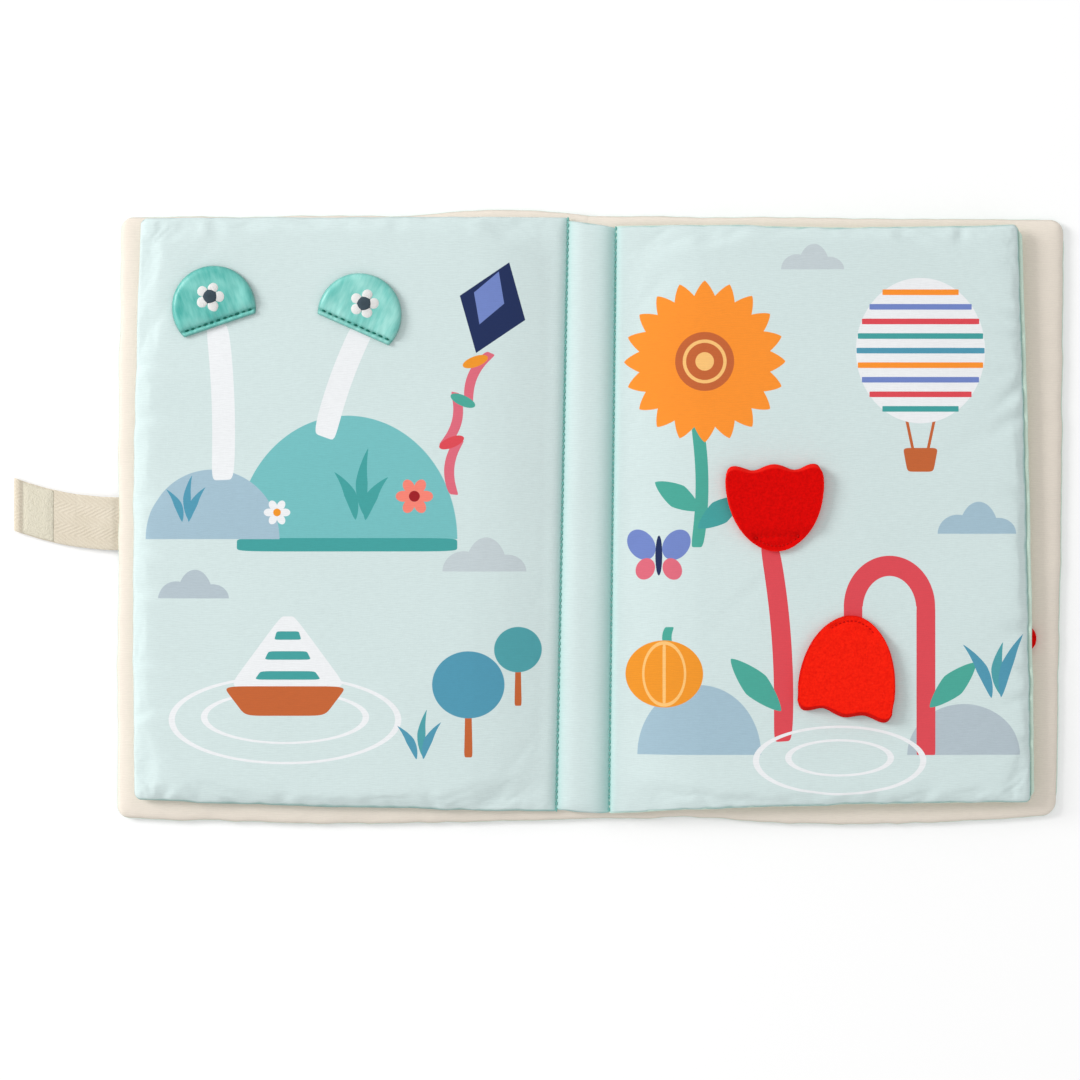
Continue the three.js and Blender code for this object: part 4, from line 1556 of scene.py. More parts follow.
    def back(self, u: float, v: float) -> Vector:
        """A point of the back cloth, flat where it rests and bulging past an overhung seam."""
        spot = self.spot(u, v)
        x, y = spot.x, spot.y
        share, fold = self.fullness(spot, self.under_rise)
        rim = mix(self.fold_seam, self.seam, fold)
        rest = mix(self.fold_seam, self.base, clamp(2.5 * fold))
        turned = smooth(share) ** 2 if any(side.overhang for side in self.sides) else soft_rise(share)
        z = mix(rim, rest, turned) + self.lap(spot)
        if self.waist:
            inside = min(spot.away[0], spot.away[2]) - 6 * MM
            valley = math.exp(-(((x - self.waist[0]) / self.waist[1]) ** 2)) * smooth(inside / (6 * MM))
            z = mix(z, self.fold_seam, valley)
        brink = min(edge for edge, side in zip(spot.edges, self.sides) if not side.joined)
        z = min(z, self.front(u, v).z - self.cloth_gap * clamp(brink / (0.6 * MM)))
        if self.dent:
            z += self.dent(x, y)
        for number, (dx, dy) in enumerate(((0, -1), (1, 0), (0, 1), (-1, 0))):
            side, distance = self.sides[number], spot.away[number]
            if side.overhang:
                turn = clamp(distance / (6 * MM))
                bulge = side.overhang * math.sin(math.pi * turn) + distance * (1 - smooth(turn))
                beside = min(spot.away[(number + 1) % 4], spot.away[(number + 3) % 4])
                bulge *= smooth(share * 9) * smooth(beside / (2 * self.corner))
                x += dx * bulge
                y += dy * bulge
        return Vector((x, y, max(z, self.base)))

    def cloth(self, part: str, material: bpy.types.Material, face_down: bool = False) -> bpy.types.Object:
        """Lays one of the panel's two cloths.

        Args:
            part: The last part of the piece's name.
            material: Its finish.
            face_down: Whether it is the back cloth.

        Returns:
            The cloth, still without thickness.
        """
        columns, rows = round(self.width / self.cell), round(self.height / self.cell)
        shape = self.back if face_down else self.front
        values = {RIM: self.rim, SEAM_SHADING: self.tint, FOLD: self.fold}
        bm = grid_mesh(columns, rows, shape, self.flat, values, face_down)
        return mesh_piece(f"{self.name}_{part}", bm, material)

    def inflate(self, piece: bpy.types.Object, frames: int = 14) -> None:
        """Lets the front cloth swell over its wadding, held at its seams, by a cloth simulation.

        Args:
            piece: The front cloth.
            frames: Frames to run.
        """
        held = piece.vertex_groups.new(name="held")
        loose = piece.vertex_groups.new(name="loose")
        rims, folds = ([value.value for value in piece.data.attributes[name].data] for name in (RIM, FOLD))
        held.add(sorted({index for edge in boundary_edges(piece.data) for index in edge}), 1.0, "REPLACE")
        for index, distance in enumerate(rims):
            loose.add([index], math.exp(-distance / self.loose), "REPLACE")
        start = [vert.co.copy() for vert in piece.data.vertices]
        cloth = piece.modifiers.new("wadding", "CLOTH")
        settings = cloth.settings
        settings.quality = 4
        settings.mass = 0.15
        settings.tension_stiffness = settings.compression_stiffness = 12
        settings.bending_stiffness = 0.2
        settings.vertex_group_mass = held.name
        settings.vertex_group_shrink = loose.name
        settings.shrink_min = -0.004
        settings.shrink_max = -0.05
        settings.use_pressure = True
        settings.uniform_pressure_force = 3.0
        settings.effector_weights.gravity = 0
        cloth.collision_settings.use_collision = False
        cloth.point_cache.frame_start = 1
        cloth.point_cache.frame_end = frames
        for number in range(1, frames + 1):
            bpy.context.scene.frame_set(number)
        swollen = piece.evaluated_get(bpy.context.evaluated_depsgraph_get()).data
        moved = [vert.co - rest for vert, rest in zip(swollen.vertices, start)]
        piece.modifiers.remove(cloth)
        bpy.context.scene.frame_set(1)
        for vert, rest, shift, fold in zip(piece.data.vertices, start, moved, folds):
            if shift.length > self.cap:
                shift = shift.normalized() * self.cap
            vert.co = rest + shift * smooth(fold / self.still)
            over = vert.co.z - self.top
            if over > 0:
                vert.co.z = self.top + SWELL * math.tanh(over / (1.5 * MM))
        piece.vertex_groups.clear()
        log.info("%s: swollen over its wadding", piece.name)


def boundary_edges(mesh: bpy.types.Mesh) -> list[tuple[int, int]]:
    """The edges of a mesh that belong to one face only."""
    uses: dict[tuple[int, int], int] = {}
    for polygon in mesh.polygons:
        for key in polygon.edge_keys:
            uses[key] = uses.get(key, 0) + 1
    return [key for key, count in uses.items() if count == 1]


@dataclass(frozen=True)
class FoldLine:
    """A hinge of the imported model, as a frame for what is sewn along it.

    Attributes:
        origin: A point on the fold line.
        across: Direction along the fold line.
        out: Direction from the fold towards the free end.
    """

    origin: Vector
    across: Vector
    out: Vector

    @classmethod
    def of(cls, joint: str) -> "FoldLine":
        """Reads a hinge by its name."""
        found = next(item for item in frame["joints"] if item["name"] == joint)
        across = -Vector(found["axis"])
        return cls(Vector(found["pos_m"]), across, Vector((-across.y, across.x, 0.0)))

    def at(self, x: float, y: float, z: float) -> Vector:
        """A point from its place along the fold, away from it, and its height in the row frame."""
        point = self.origin + self.across * x + self.out * y
        return Vector((point.x, point.y, z))


def stitch_row(name: str, points: Sequence[Vector], length: float, radius: float,
               material: bpy.types.Material) -> bpy.types.Object:
    """Sews a row of stitches, each a short length of thread whose ends go into the cloth.

    Args:
        name: The piece's name.
        points: Where the stitches lie, with their middles half way between two points.
        length: Length of a stitch, as a share of the distance between two points.
        radius: The thread's radius.
        material: Its finish.

    Returns:
        The row as one piece.
    """
    bm = bmesh.new()
    cloth_map = bm.loops.layers.uv.new(CLOTH_MAP)
    for start, end in zip(points, points[1:]):
        middle, run = (start + end) / 2, end - start
        half = run.length * length / 2
        made = bmesh.ops.create_uvsphere(bm, u_segments=8, v_segments=7, radius=1.0)
        for vert in made["verts"]:
            x, y, z = vert.co
            thick = radius * (1 - 0.25 * z * z)
            vert.co = Vector((z * half, x * thick, y * thick - 0.9 * radius * z ** 4))
        turn = Matrix.Rotation(math.atan2(run.y, run.x) + STITCH_SLANT, 4, "Z")
        bmesh.ops.transform(bm, matrix=Matrix.Translation(middle) @ turn, verts=made["verts"])
    for face in bm.faces:
        for loop in face.loops:
            loop[cloth_map].uv = (loop.vert.co.y, loop.vert.co.x)
    return mesh_piece(name, bm, material)


def between(start: Vector, end: Vector, count: int) -> list[Vector]:
    """Points from start to end, with count equal steps between them."""
    return [start.lerp(end, step / count) for step in range(count + 1)]


@dataclass
class Spine:
    """The gutter panel over the spine, and the two rows of stitches that hold the book together.

    Attributes:
        left_lean: How far the left row leans, from its middle to an end.
        right_lean: How far the right row leans.
        left_shift: How far the left row lies to the right of its fold line.
        right_shift: How far the right row does.
        pitch: Length of a stitch.
        thread: Radius of the thread.
        left: The left fold line.
        right: The right fold line.
    """

    left_lean: float = 2.2 * MM
    right_lean: float = 1.3 * MM
    left_shift: float = 0.6 * MM
    right_shift: float = -0.3 * MM
    pitch: float = 2.3 * MM
    thread: float = 0.38 * MM
    left: FoldLine = field(default_factory=lambda: FoldLine.of("left_cover_fold"))
    right: FoldLine = field(default_factory=lambda: FoldLine.of("right_cover_fold"))

    def line(self, fold: FoldLine, lean: float, y: float) -> float:
        """The X of a row of stitches at a height on the page."""
        low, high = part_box("left_spine_stitching")
        half, middle = (high.y - low.y) / 2, (high.y + low.y) / 2
        return fold.origin.x + lean * (y - middle) / half

    def left_line(self, y: float) -> float:
        """The X of the left row at a height on the page."""
        return self.line(self.left, self.left_lean, y) + self.left_shift

    def right_line(self, y: float) -> float:
        """The X of the right row at a height on the page."""
        return self.line(self.right, self.right_lean, y) + self.right_shift

    def build(self, finishes: Finishes) -> None:
        """Builds the gutter's cloths and both rows of stitches."""
        low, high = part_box("gutter_front_cloth")
        back_low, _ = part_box("gutter_back_cloth")
        foot, head = low.y + 1.4 * MM, high.y - 1.6 * MM
        panel = PaddedPanel(
            name="gutter",
            corners=(
                (self.left_line(foot) + STITCH_ROOM, foot - 0.3 * MM),
                (self.right_line(foot) - STITCH_ROOM, foot - 1.4 * MM),
                (self.right_line(head) - STITCH_ROOM, head - 2.2 * MM),
                (self.left_line(head) + STITCH_ROOM, head + 0.6 * MM),
            ),
            sides=(
                Side(5 * MM, bow=0.3 * MM, ruffle=0.5 * MM, pucker=0.5 * MM, tint=0.45),
                Side(8 * MM, lip=8 * MM, fold=True, valley=2.6),
                Side(5 * MM, bow=0.3 * MM, ruffle=0.4 * MM, pucker=0.4 * MM, tint=0.2),
                Side(9 * MM, lip=9 * MM, fold=True),
            ),
            base=back_low.z,
            seam=low.z + 0.8 * MM,
            fold_seam=back_low.z + 0.8 * MM,
            top=high.z + 0.2 * MM,
            corner=1.5 * MM,
            cell=1.2 * MM,
            seed=4.0,
        )
        front = panel.cloth("front", finishes.gutter)
        panel.inflate(front)
        back = panel.cloth("back", finishes.gutter, face_down=True)
        for piece, nodes in (
            (front, ("gutter_front_cloth", "gutter_wadding")),
            (back, ("gutter_back_cloth",)),
        ):
            finish_cloth(piece, 0.3 * MM)
            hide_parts(*nodes)
            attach(piece, "spine")
        log.info("gutter: two cloths over wadding")
        self._stitches(finishes)

    def _stitches(self, finishes: Finishes) -> None:
        """Sews both rows from foot to head."""
        rows = (
            ("left_spine_stitching", "left_spine_stitches", self.left_line, self.left, 1.9 * MM),
            ("right_spine_stitching", "right_spine_stitches", self.right_line, self.right, -1.6 * MM),
        )
        for node, name, line, fold, past in rows:
            low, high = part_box(node)
            foot, head = low.y - 1.2 * MM, high.y + past
            count = round((head - foot) / self.pitch)
            heights = [mix(foot, head, step / count) for step in range(count + 1)]
            points = [Vector((line(y), y, fold.origin.z + 0.7 * MM)) for y in heights]
            piece = stitch_row(name, points, 0.84, self.thread, finishes.teal_thread)
            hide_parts(node)
            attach(piece, "spine")
            log.info("%s: %d stitches", name, count)


@dataclass
class Covers:
    """The two padded covers, whose cloths run on under the spine and meet at its middle.

    Attributes:
        bend: Half the width over which a cover's cloth bends at its fold line.
        cell: Size of a grid cell.
        cloth: Thickness of its cloth.
        waist: Width of the valley along its stitches.
    """

    bend: float = 8 * MM
    cell: float = 2.4 * MM
    cloth: float = 0.4 * MM
    waist: float = 3.2 * MM

    def build(self, finishes: Finishes) -> None:
        """Builds both covers."""
        low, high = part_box("spine_outer_cloth")
        middle = (low.x + high.x) / 2
        left = FoldLine.of("left_cover_fold").origin.x
        right = FoldLine.of("right_cover_fold").origin.x
        self._cover("left", self._left_panel(middle, left), left, finishes)
        self._cover("right", self._right_panel(middle, right), right, finishes)

    def _sides(self, open_right: bool) -> tuple[Side, Side, Side, Side]:
        """The foot, right, head and left sides of a cover."""
        spine = Side(1 * MM, joined=True)
        if open_right:
            foot = Side(5 * MM, bow=3.0 * MM, late=0.25, ruffle=0.8 * MM, pucker=1.1 * MM)
            fore = Side(5.5 * MM, bow=0.4 * MM, ruffle=0.5 * MM, pucker=0.35 * MM, overhang=0.9 * MM)
            head = Side(5 * MM, bow=-0.2 * MM, ruffle=0.4 * MM, pucker=0.35 * MM, overhang=0.5 * MM)
            return foot, fore, head, spine
        foot = Side(5 * MM, bow=2.0 * MM, ruffle=0.8 * MM, pucker=1.1 * MM)
        fore = Side(5.5 * MM, bow=0.4 * MM, ruffle=0.5 * MM, pucker=0.35 * MM)
        head = Side(5 * MM, bow=2.2 * MM, late=0.62, ruffle=0.5 * MM, pucker=0.35 * MM, overhang=0.5 * MM)
        return foot, spine, head, fore

    def _left_panel(self, middle: float, fold: float) -> PaddedPanel:
        """The left cover, from its fore edge to the middle of the spine."""
        low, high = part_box("left_cover_outer_cloth")
        return PaddedPanel(
            name="left_cover",
            corners=(
                (low.x - 0.3 * MM, low.y + 1.3 * MM),
                (middle + OVERLAP, low.y + 0.9 * MM),
                (middle + OVERLAP, high.y - 0.35 * MM),
                (low.x + 1.2 * MM, high.y - 0.9 * MM),
            ),
            sides=self._sides(open_right=False),
            corner=4.5 * MM,
            waist=(fold, self.waist),
            **self._heights(),
        )

    def _right_panel(self, middle: float, fold: float) -> PaddedPanel:
        """The right cover, from the middle of the spine to its fore edge."""
        low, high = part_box("right_cover_outer_cloth")
        patch_low, patch_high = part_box("loop_patch")

        def dent(x: float, y: float) -> float:
            """How far the cloth is pressed in behind the loop patch."""
            inside = min(x - patch_low.x, patch_high.x - x, y - patch_low.y, patch_high.y - y)
            return (patch_high.z + 0.2 * MM) * smooth((inside + 2 * MM) / (2 * MM))

        return PaddedPanel(
            name="right_cover",
            corners=(
                (middle - OVERLAP, low.y + 0.9 * MM),
                (high.x - 2.4 * MM, low.y + 2.4 * MM),
                (high.x + 0.5 * MM, high.y - 1.9 * MM),
                (middle - OVERLAP, high.y - 0.35 * MM),
            ),
            sides=self._sides(open_right=True),
            corner=5 * MM,
            waist=(fold, self.waist),
            dent=dent,
            **self._heights(),
        )

    def _heights(self) -> dict[str, float]:
        """The heights that both covers share, and the size of their cells."""
        outer_low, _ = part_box("left_cover_outer_cloth")
        _, lining_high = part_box("left_cover_lining")
        return {
            "base": outer_low.z,
            "seam": (outer_low.z + lining_high.z) / 2,
            "fold_seam": lining_high.z - 1.0 * MM,
            "top": lining_high.z,
            "cell": self.cell,
            "seed": 11.0,
        }

    def _cover(self, side: str, panel: PaddedPanel, fold: float, finishes: Finishes) -> None:
        """Makes a cover's two cloths and lets them bend at the spine."""
        lining = panel.cloth("lining", finishes.cream)
        outer = panel.cloth("outer_cloth", finishes.mint, face_down=True)
        inner = 1 if side == "left" else -1
        start = Vector((fold - inner * self.bend, 0.0, panel.base))
        end = Vector((fold + inner * self.bend, 0.0, panel.base))
        stands_for = {
            "lining": ("cover_lining", "cover_wadding"),
            "outer_cloth": ("cover_outer_cloth",),
        }
        for piece, part in ((lining, "lining"), (outer, "outer_cloth")):
            finish_cloth(piece, self.cloth if part == "lining" else BACK_CLOTH)
            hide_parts(*(f"{side}_{node}" for node in stands_for[part]))
            if side == "left":
                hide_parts("spine_lining" if part == "lining" else "spine_outer_cloth")
            elif part == "lining":
                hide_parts("spine_wadding")
            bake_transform(piece, f"{side}_cover", "spine", start=start, end=end)
        log.info("%s cover: lining and outer cloth", side)


@dataclass
class Leaves:
    """The two padded pages.

    Attributes:
        cloth: Thickness of their cloths.
        cell: Size of a grid cell.
        bend: Width over which a leaf bends beside its stitches.
    """

    cloth: float = 0.3 * MM
    cell: float = 1.6 * MM
    bend: float = 9 * MM

    def build(self, spine: Spine, finishes: Finishes) -> None:
        """Builds both leaves."""
        self._leaf("left", self._left_panel(spine), finishes.left_print, finishes.aqua, "aqua_cotton")
        self._leaf("right", self._right_panel(spine), finishes.right_print, finishes.mint, "green_cotton")

    def _left_panel(self, spine: Spine) -> PaddedPanel:
        """The left leaf, which is stitched down along its right side."""
        low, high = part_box("left_leaf_front_cloth")
        back_low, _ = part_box("left_leaf_back_cloth")
        foot, head = low.y - 1.5 * MM, high.y + 0.6 * MM
        return PaddedPanel(
            name="left_leaf",
            corners=(
                (low.x + 0.3 * MM, foot + 4.3 * MM),
                (spine.left_line(foot) - STITCH_ROOM, foot - 0.2 * MM),
                (spine.left_line(head) - STITCH_ROOM, head - 0.3 * MM),
                (low.x + 2.7 * MM, head - 0.7 * MM),
            ),
            sides=(
                Side(7 * MM, bow=0.5 * MM, ruffle=0.45 * MM, pucker=1.1 * MM, tint=0.75),
                Side(70 * MM, lip=5.5 * MM, quick=0.32, fold=True),
                Side(8 * MM, bow=0.3 * MM, ruffle=0.25 * MM, pucker=0.45 * MM, tint=0.05),
                Side(9 * MM, bow=1.5 * MM, ruffle=0.35 * MM, pucker=0.6 * MM, tint=0.0),
            ),
            base=back_low.z,
            seam=back_low.z + 2.4 * MM,
            fold_seam=back_low.z + 0.8 * MM,
            top=high.z,
            corner=2.6 * MM,
            cell=self.cell,
            seed=31.0,
            creases=creases_of(LEFT_CREASES),
        )

    def _right_panel(self, spine: Spine) -> PaddedPanel:
        """The right leaf, which is stitched down along its left side."""
        low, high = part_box("right_leaf_front_cloth")
        back_low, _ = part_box("right_leaf_back_cloth")
        foot, head = low.y - 0.9 * MM, high.y - 0.2 * MM
        return PaddedPanel(
            name="right_leaf",
            corners=(
                (spine.right_line(foot) + STITCH_ROOM, foot + 0.6 * MM),
                (high.x + 1.2 * MM, foot + 5.0 * MM),
                (high.x - 3.6 * MM, head - 0.1 * MM),
                (spine.right_line(head) + STITCH_ROOM, head - 0.4 * MM),
            ),
            sides=(
                Side(7 * MM, bow=-1.1 * MM, ruffle=0.4 * MM, pucker=1.0 * MM, tint=0.55),
                Side(6 * MM, bow=0.7 * MM, ruffle=0.3 * MM, pucker=0.45 * MM, overhang=2.3 * MM, tint=0.6),
                Side(8 * MM, bow=-1.0 * MM, late=0.3, ruffle=0.3 * MM, pucker=0.6 * MM, tint=0.4),
                Side(60 * MM, lip=3.0 * MM, quick=0.24, fold=True),
            ),
            base=back_low.z,
            seam=back_low.z + 4.4 * MM,
            fold_seam=back_low.z + 0.8 * MM,
            top=high.z,
            corner=2.2 * MM,
            cell=self.cell,
            seed=47.0,
            under_rise=0.9,
            creases=creases_of(RIGHT_CREASES),
        )

    def _leaf(self, side: str, panel: PaddedPanel, printed: bpy.types.Material,
              behind: bpy.types.Material, back_slot: str) -> None:
        """Makes a leaf's two cloths."""
        front = panel.cloth("page", printed)
        panel.inflate(front)
        back = panel.cloth("back", behind, face_down=True)
        body = f"{side}_leaf"
        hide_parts(f"{body}_front_cloth", f"{body}_wadding", f"{body}_crinkle_film")
        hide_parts(f"{body}_back_cloth")
        fold = FoldLine.of(f"{side}_cover_fold").origin
        away = Vector((-self.bend if side == "left" else self.bend, 0.0, 0.0))
        for piece, cloth in ((front, self.cloth), (back, BACK_CLOTH)):
            finish_cloth(piece, cloth)
            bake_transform(piece, body, f"{side}_cover", start=fold + away, end=fold)
        log.info("%s leaf: printed page and back", side)


@dataclass
class SatinFlap:
    """A round satin flap, cut off by the hem along which it is sewn to the left leaf.

    Attributes:
        side: Which of the two flaps it is.
        offset: Distance from the round's middle to the hem's outer edge.
        radius: Radius of its round part.
        hem: Width of the hem outside the stitches.
        thickness: Its height over the page.
        hinge: Distance from the stitches to the fold line.
        thread: Radius of its stitches.
        stitches: How many stitches hold it.
        cloth: Thickness of the satin.
        brim: Height of its outermost edge.
        roll: How far its rolled edge rises over that.
        valley: Height of the satin beside the stitches.
        bend: Where its bend starts and ends, from its fold line.
        cells: Cells across its face and across its back.
    """

    side: str
    offset: float
    radius: float = 15.6 * MM
    hem: float = 1.9 * MM
    thickness: float = 2.7 * MM
    hinge: float = 0.5 * MM
    thread: float = 0.42 * MM
    stitches: int = 11
    cloth: float = 0.22 * MM
    brim: float = 0.5 * MM
    roll: float = 1.1 * MM
    valley: float = 0.9 * MM
    bend: Pair = (-0.3 * MM, 3.0 * MM)
    cells: tuple[int, int] = (64, 30)

    def __post_init__(self) -> None:
        """Reads the flap's fold line and the page's height under it."""
        self.fold = FoldLine.of(f"satin_flap_{self.side}_lift")
        self.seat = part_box(f"satin_flap_{self.side}_back")[0].z
        self.centre = self.offset - self.hem
        self.chord = math.sqrt(self.radius ** 2 - self.offset ** 2)

    def arc(self, angle: float) -> Vector:
        """A point on the round, by its angle from the right."""
        return Vector((self.radius * math.cos(angle), self.centre + self.radius * math.sin(angle)))

    def outline(self, u: float, v: float) -> Pair:
        """The flap's flat shape: its chord below, and three stretches of its round."""
        low, knee = -math.asin(self.offset / self.radius), math.radians(48)
        foot = Vector((mix(-self.chord, self.chord, u), -self.hem))
        right, left = self.arc(mix(low, knee, v)), self.arc(mix(math.pi - low, math.pi - knee, v))
        head = self.arc(mix(math.pi - knee, knee, u))
        corners = [self.arc(angle) for angle in (math.pi - low, low, knee, math.pi - knee)]
        point = filled(u, v, (foot, right, head, left), corners)
        return point.x, point.y

    def rim(self, u: float, v: float) -> float:
        """Distance to the flap's edge."""
        x, y = self.outline(u, v)
        return min(self.radius - math.hypot(x, y - self.centre), y + self.hem)

    def stitched(self, u: float, v: float) -> float:
        """Distance to the row of stitches."""
        return abs(self.outline(u, v)[1])

    def face(self, u: float, v: float) -> Vector:
        """A point of the satin face, with its rolled hem, its stitched valley and its dome."""
        x, y = self.outline(u, v)
        edge = self.radius - math.hypot(x, y - self.centre)
        past = clamp((y + self.hem) / self.hem)
        roll = self.brim + self.roll * math.sqrt(max(0.0, 1 - (1.8 * past - 0.9) ** 2))
        pull = ripple(x, 0.0, 61.0 + len(self.side), 1.5 * MM) * math.exp(-abs(y) / (3.2 * MM))
        pull *= 0.42 * MM * smooth(edge / (1.5 * MM))
        rise = round_rise((y - 0.2 * MM) / (4.0 * MM)) * round_rise(edge / (2.6 * MM))
        crown = self.valley + (self.thickness - self.valley) * rise
        crown += 0.3 * MM * ripple(x, y, 67.0 + len(self.side), 5.5 * MM) * rise
        share = smooth((y + 0.5 * MM) / (1.4 * MM))
        z = mix(min(roll, self.brim + self.roll * round_rise(edge / MM)), crown, share)
        z -= 0.4 * MM * math.exp(-((y / (0.6 * MM)) ** 2))
        return self.fold.at(x, y - self.hinge, self.seat + max(z + pull, 0.3 * MM))

    def underside(self, u: float, v: float) -> Vector:
        """A point of the satin back."""
        x, y = self.outline(u, v)
        lift = 0.45 * MM * (1 - round_rise(self.rim(u, v) / (1.6 * MM)))
        return self.fold.at(x, y - self.hinge, self.seat + 0.02 * MM + lift)

    def build(self, finishes: Finishes) -> None:
        """Builds the satin, its stitches and its embroidered flower."""
        name = f"satin_flap_{self.side}"
        values = {RIM: self.rim, FOLD: self.stitched}
        fine, coarse = self.cells
        upper = grid_mesh(fine, fine, self.face, self.outline, values)
        lower = grid_mesh(coarse, coarse, self.underside, self.outline, values, face_down=True)
        satin = finishes.satin if self.side == "left" else finishes.pale_satin
        face = mesh_piece(f"{name}_satin", upper, satin)
        back = mesh_piece(f"{name}_lining", lower, satin)
        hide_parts(f"{name}_face", f"{name}_wadding", f"{name}_hem")
        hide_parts(f"{name}_back")
        for piece in (face, back):
            finish_cloth(piece, self.cloth)
            start, end = (self.fold.at(0.0, away, self.seat) for away in self.bend)
            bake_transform(piece, "left_leaf", name, start=start, end=end)
        reach = self.chord - 0.4 * MM
        ends = [self.fold.at(side * reach, -self.hinge, self.seat + 0.85 * MM) for side in (-1, 1)]
        points = between(*ends, self.stitches)
        for number, point in enumerate(points):
            point.y += 0.22 * MM * math.sin(number * 2.3)
        row = stitch_row(f"{name}_stitches", points, 0.7, self.thread, finishes.dark_thread)
        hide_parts(f"{name}_stitching")
        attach(row, "left_leaf")
        self._flower(finishes)
        log.info("%s: satin, lining, stitches and flower", name)

    def _flower(self, finishes: Finishes) -> None:
        """Embroiders the flower: five petals round a raised middle."""
        name = f"satin_flap_{self.side}"
        low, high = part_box(f"{name}_petals")
        centre = Vector(((low.x + high.x) / 2, (low.y + high.y) / 2, self.seat + self.thickness))
        petals = self._stitched_disc(centre, 5.9 * MM, 0.85 * MM, 5, 0.42)
        flower = mesh_piece(f"{name}_petals_sewn", petals, finishes.white_silk)
        heart = self._stitched_disc(centre + Vector((0, 0, 0.45 * MM)), 2.7 * MM, 0.8 * MM, 1, 0.0)
        middle = mesh_piece(f"{name}_flower_heart", heart, finishes.charcoal_silk)
        for piece, node, slot in (
            (flower, f"{name}_petals", "white_thread"),
            (middle, f"{name}_flower_centre", "charcoal_thread"),
        ):
            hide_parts(node)
            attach(piece, name)

    def _stitched_disc(self, centre: Vector, radius: float, rise: float, lobes: int,
                       depth: float) -> bmesh.types.BMesh:
        """Raises a disc of satin stitch, lobed into petals.

        Args:
            centre: Middle of its foot.
            radius: Its outer radius.
            rise: Its height.
            lobes: How many petals it has.
            depth: How deep the notches between them are, as a share.

        Returns:
            The disc, whose map runs round it in U and outwards in V.
        """
        bm = bmesh.new()
        cloth_map = bm.loops.layers.uv.new(CLOTH_MAP)
        rings, steps = 9, 80
        bmesh.ops.create_circle(bm, cap_ends=False, segments=steps, radius=1.0)
        edges = bm.edges[:]
        for number in range(1, rings):
            grown = bmesh.ops.extrude_edge_only(bm, edges=edges)["geom"]
            edges = [item for item in grown if isinstance(item, bmesh.types.BMEdge)]
            for vert in (item for item in grown if isinstance(item, bmesh.types.BMVert)):
                vert.co = vert.co.normalized() * (1 - number / rings)
        bmesh.ops.contextual_create(bm, geom=edges)
        for face in bm.faces:
            middle = face.calc_center_median()
            base = math.atan2(middle.y, middle.x)
            for loop in face.loops:
                x, y, _ = loop.vert.co
                angle = math.atan2(y, x)
                angle += 2 * math.pi * round((base - angle) / (2 * math.pi))
                loop[cloth_map].uv = (angle * radius * 0.7, math.hypot(x, y) * radius)
        for vert in bm.verts:
            angle, share = math.atan2(vert.co.y, vert.co.x), math.hypot(vert.co.x, vert.co.y)
            notch = 1 - abs(math.cos(lobes * angle / 2)) ** 0.55 if lobes > 1 else 0.0
            reach = radius * share * (1 - depth * notch)
            height = rise * math.sqrt(max(0.0, 1 - share ** 2.6)) - 0.5 * rise * notch * share
            height += 0.05 * MM * math.sin(angle * 40) * (1 - share) - 0.3 * MM
            vert.co = centre + Vector((reach * math.cos(angle), reach * math.sin(angle), height))
        bmesh.ops.recalc_face_normals(bm, faces=bm.faces[:])
        if sum(face.normal.z for face in bm.faces) < 0:
            bmesh.ops.reverse_faces(bm, faces=bm.faces[:])
        return bm


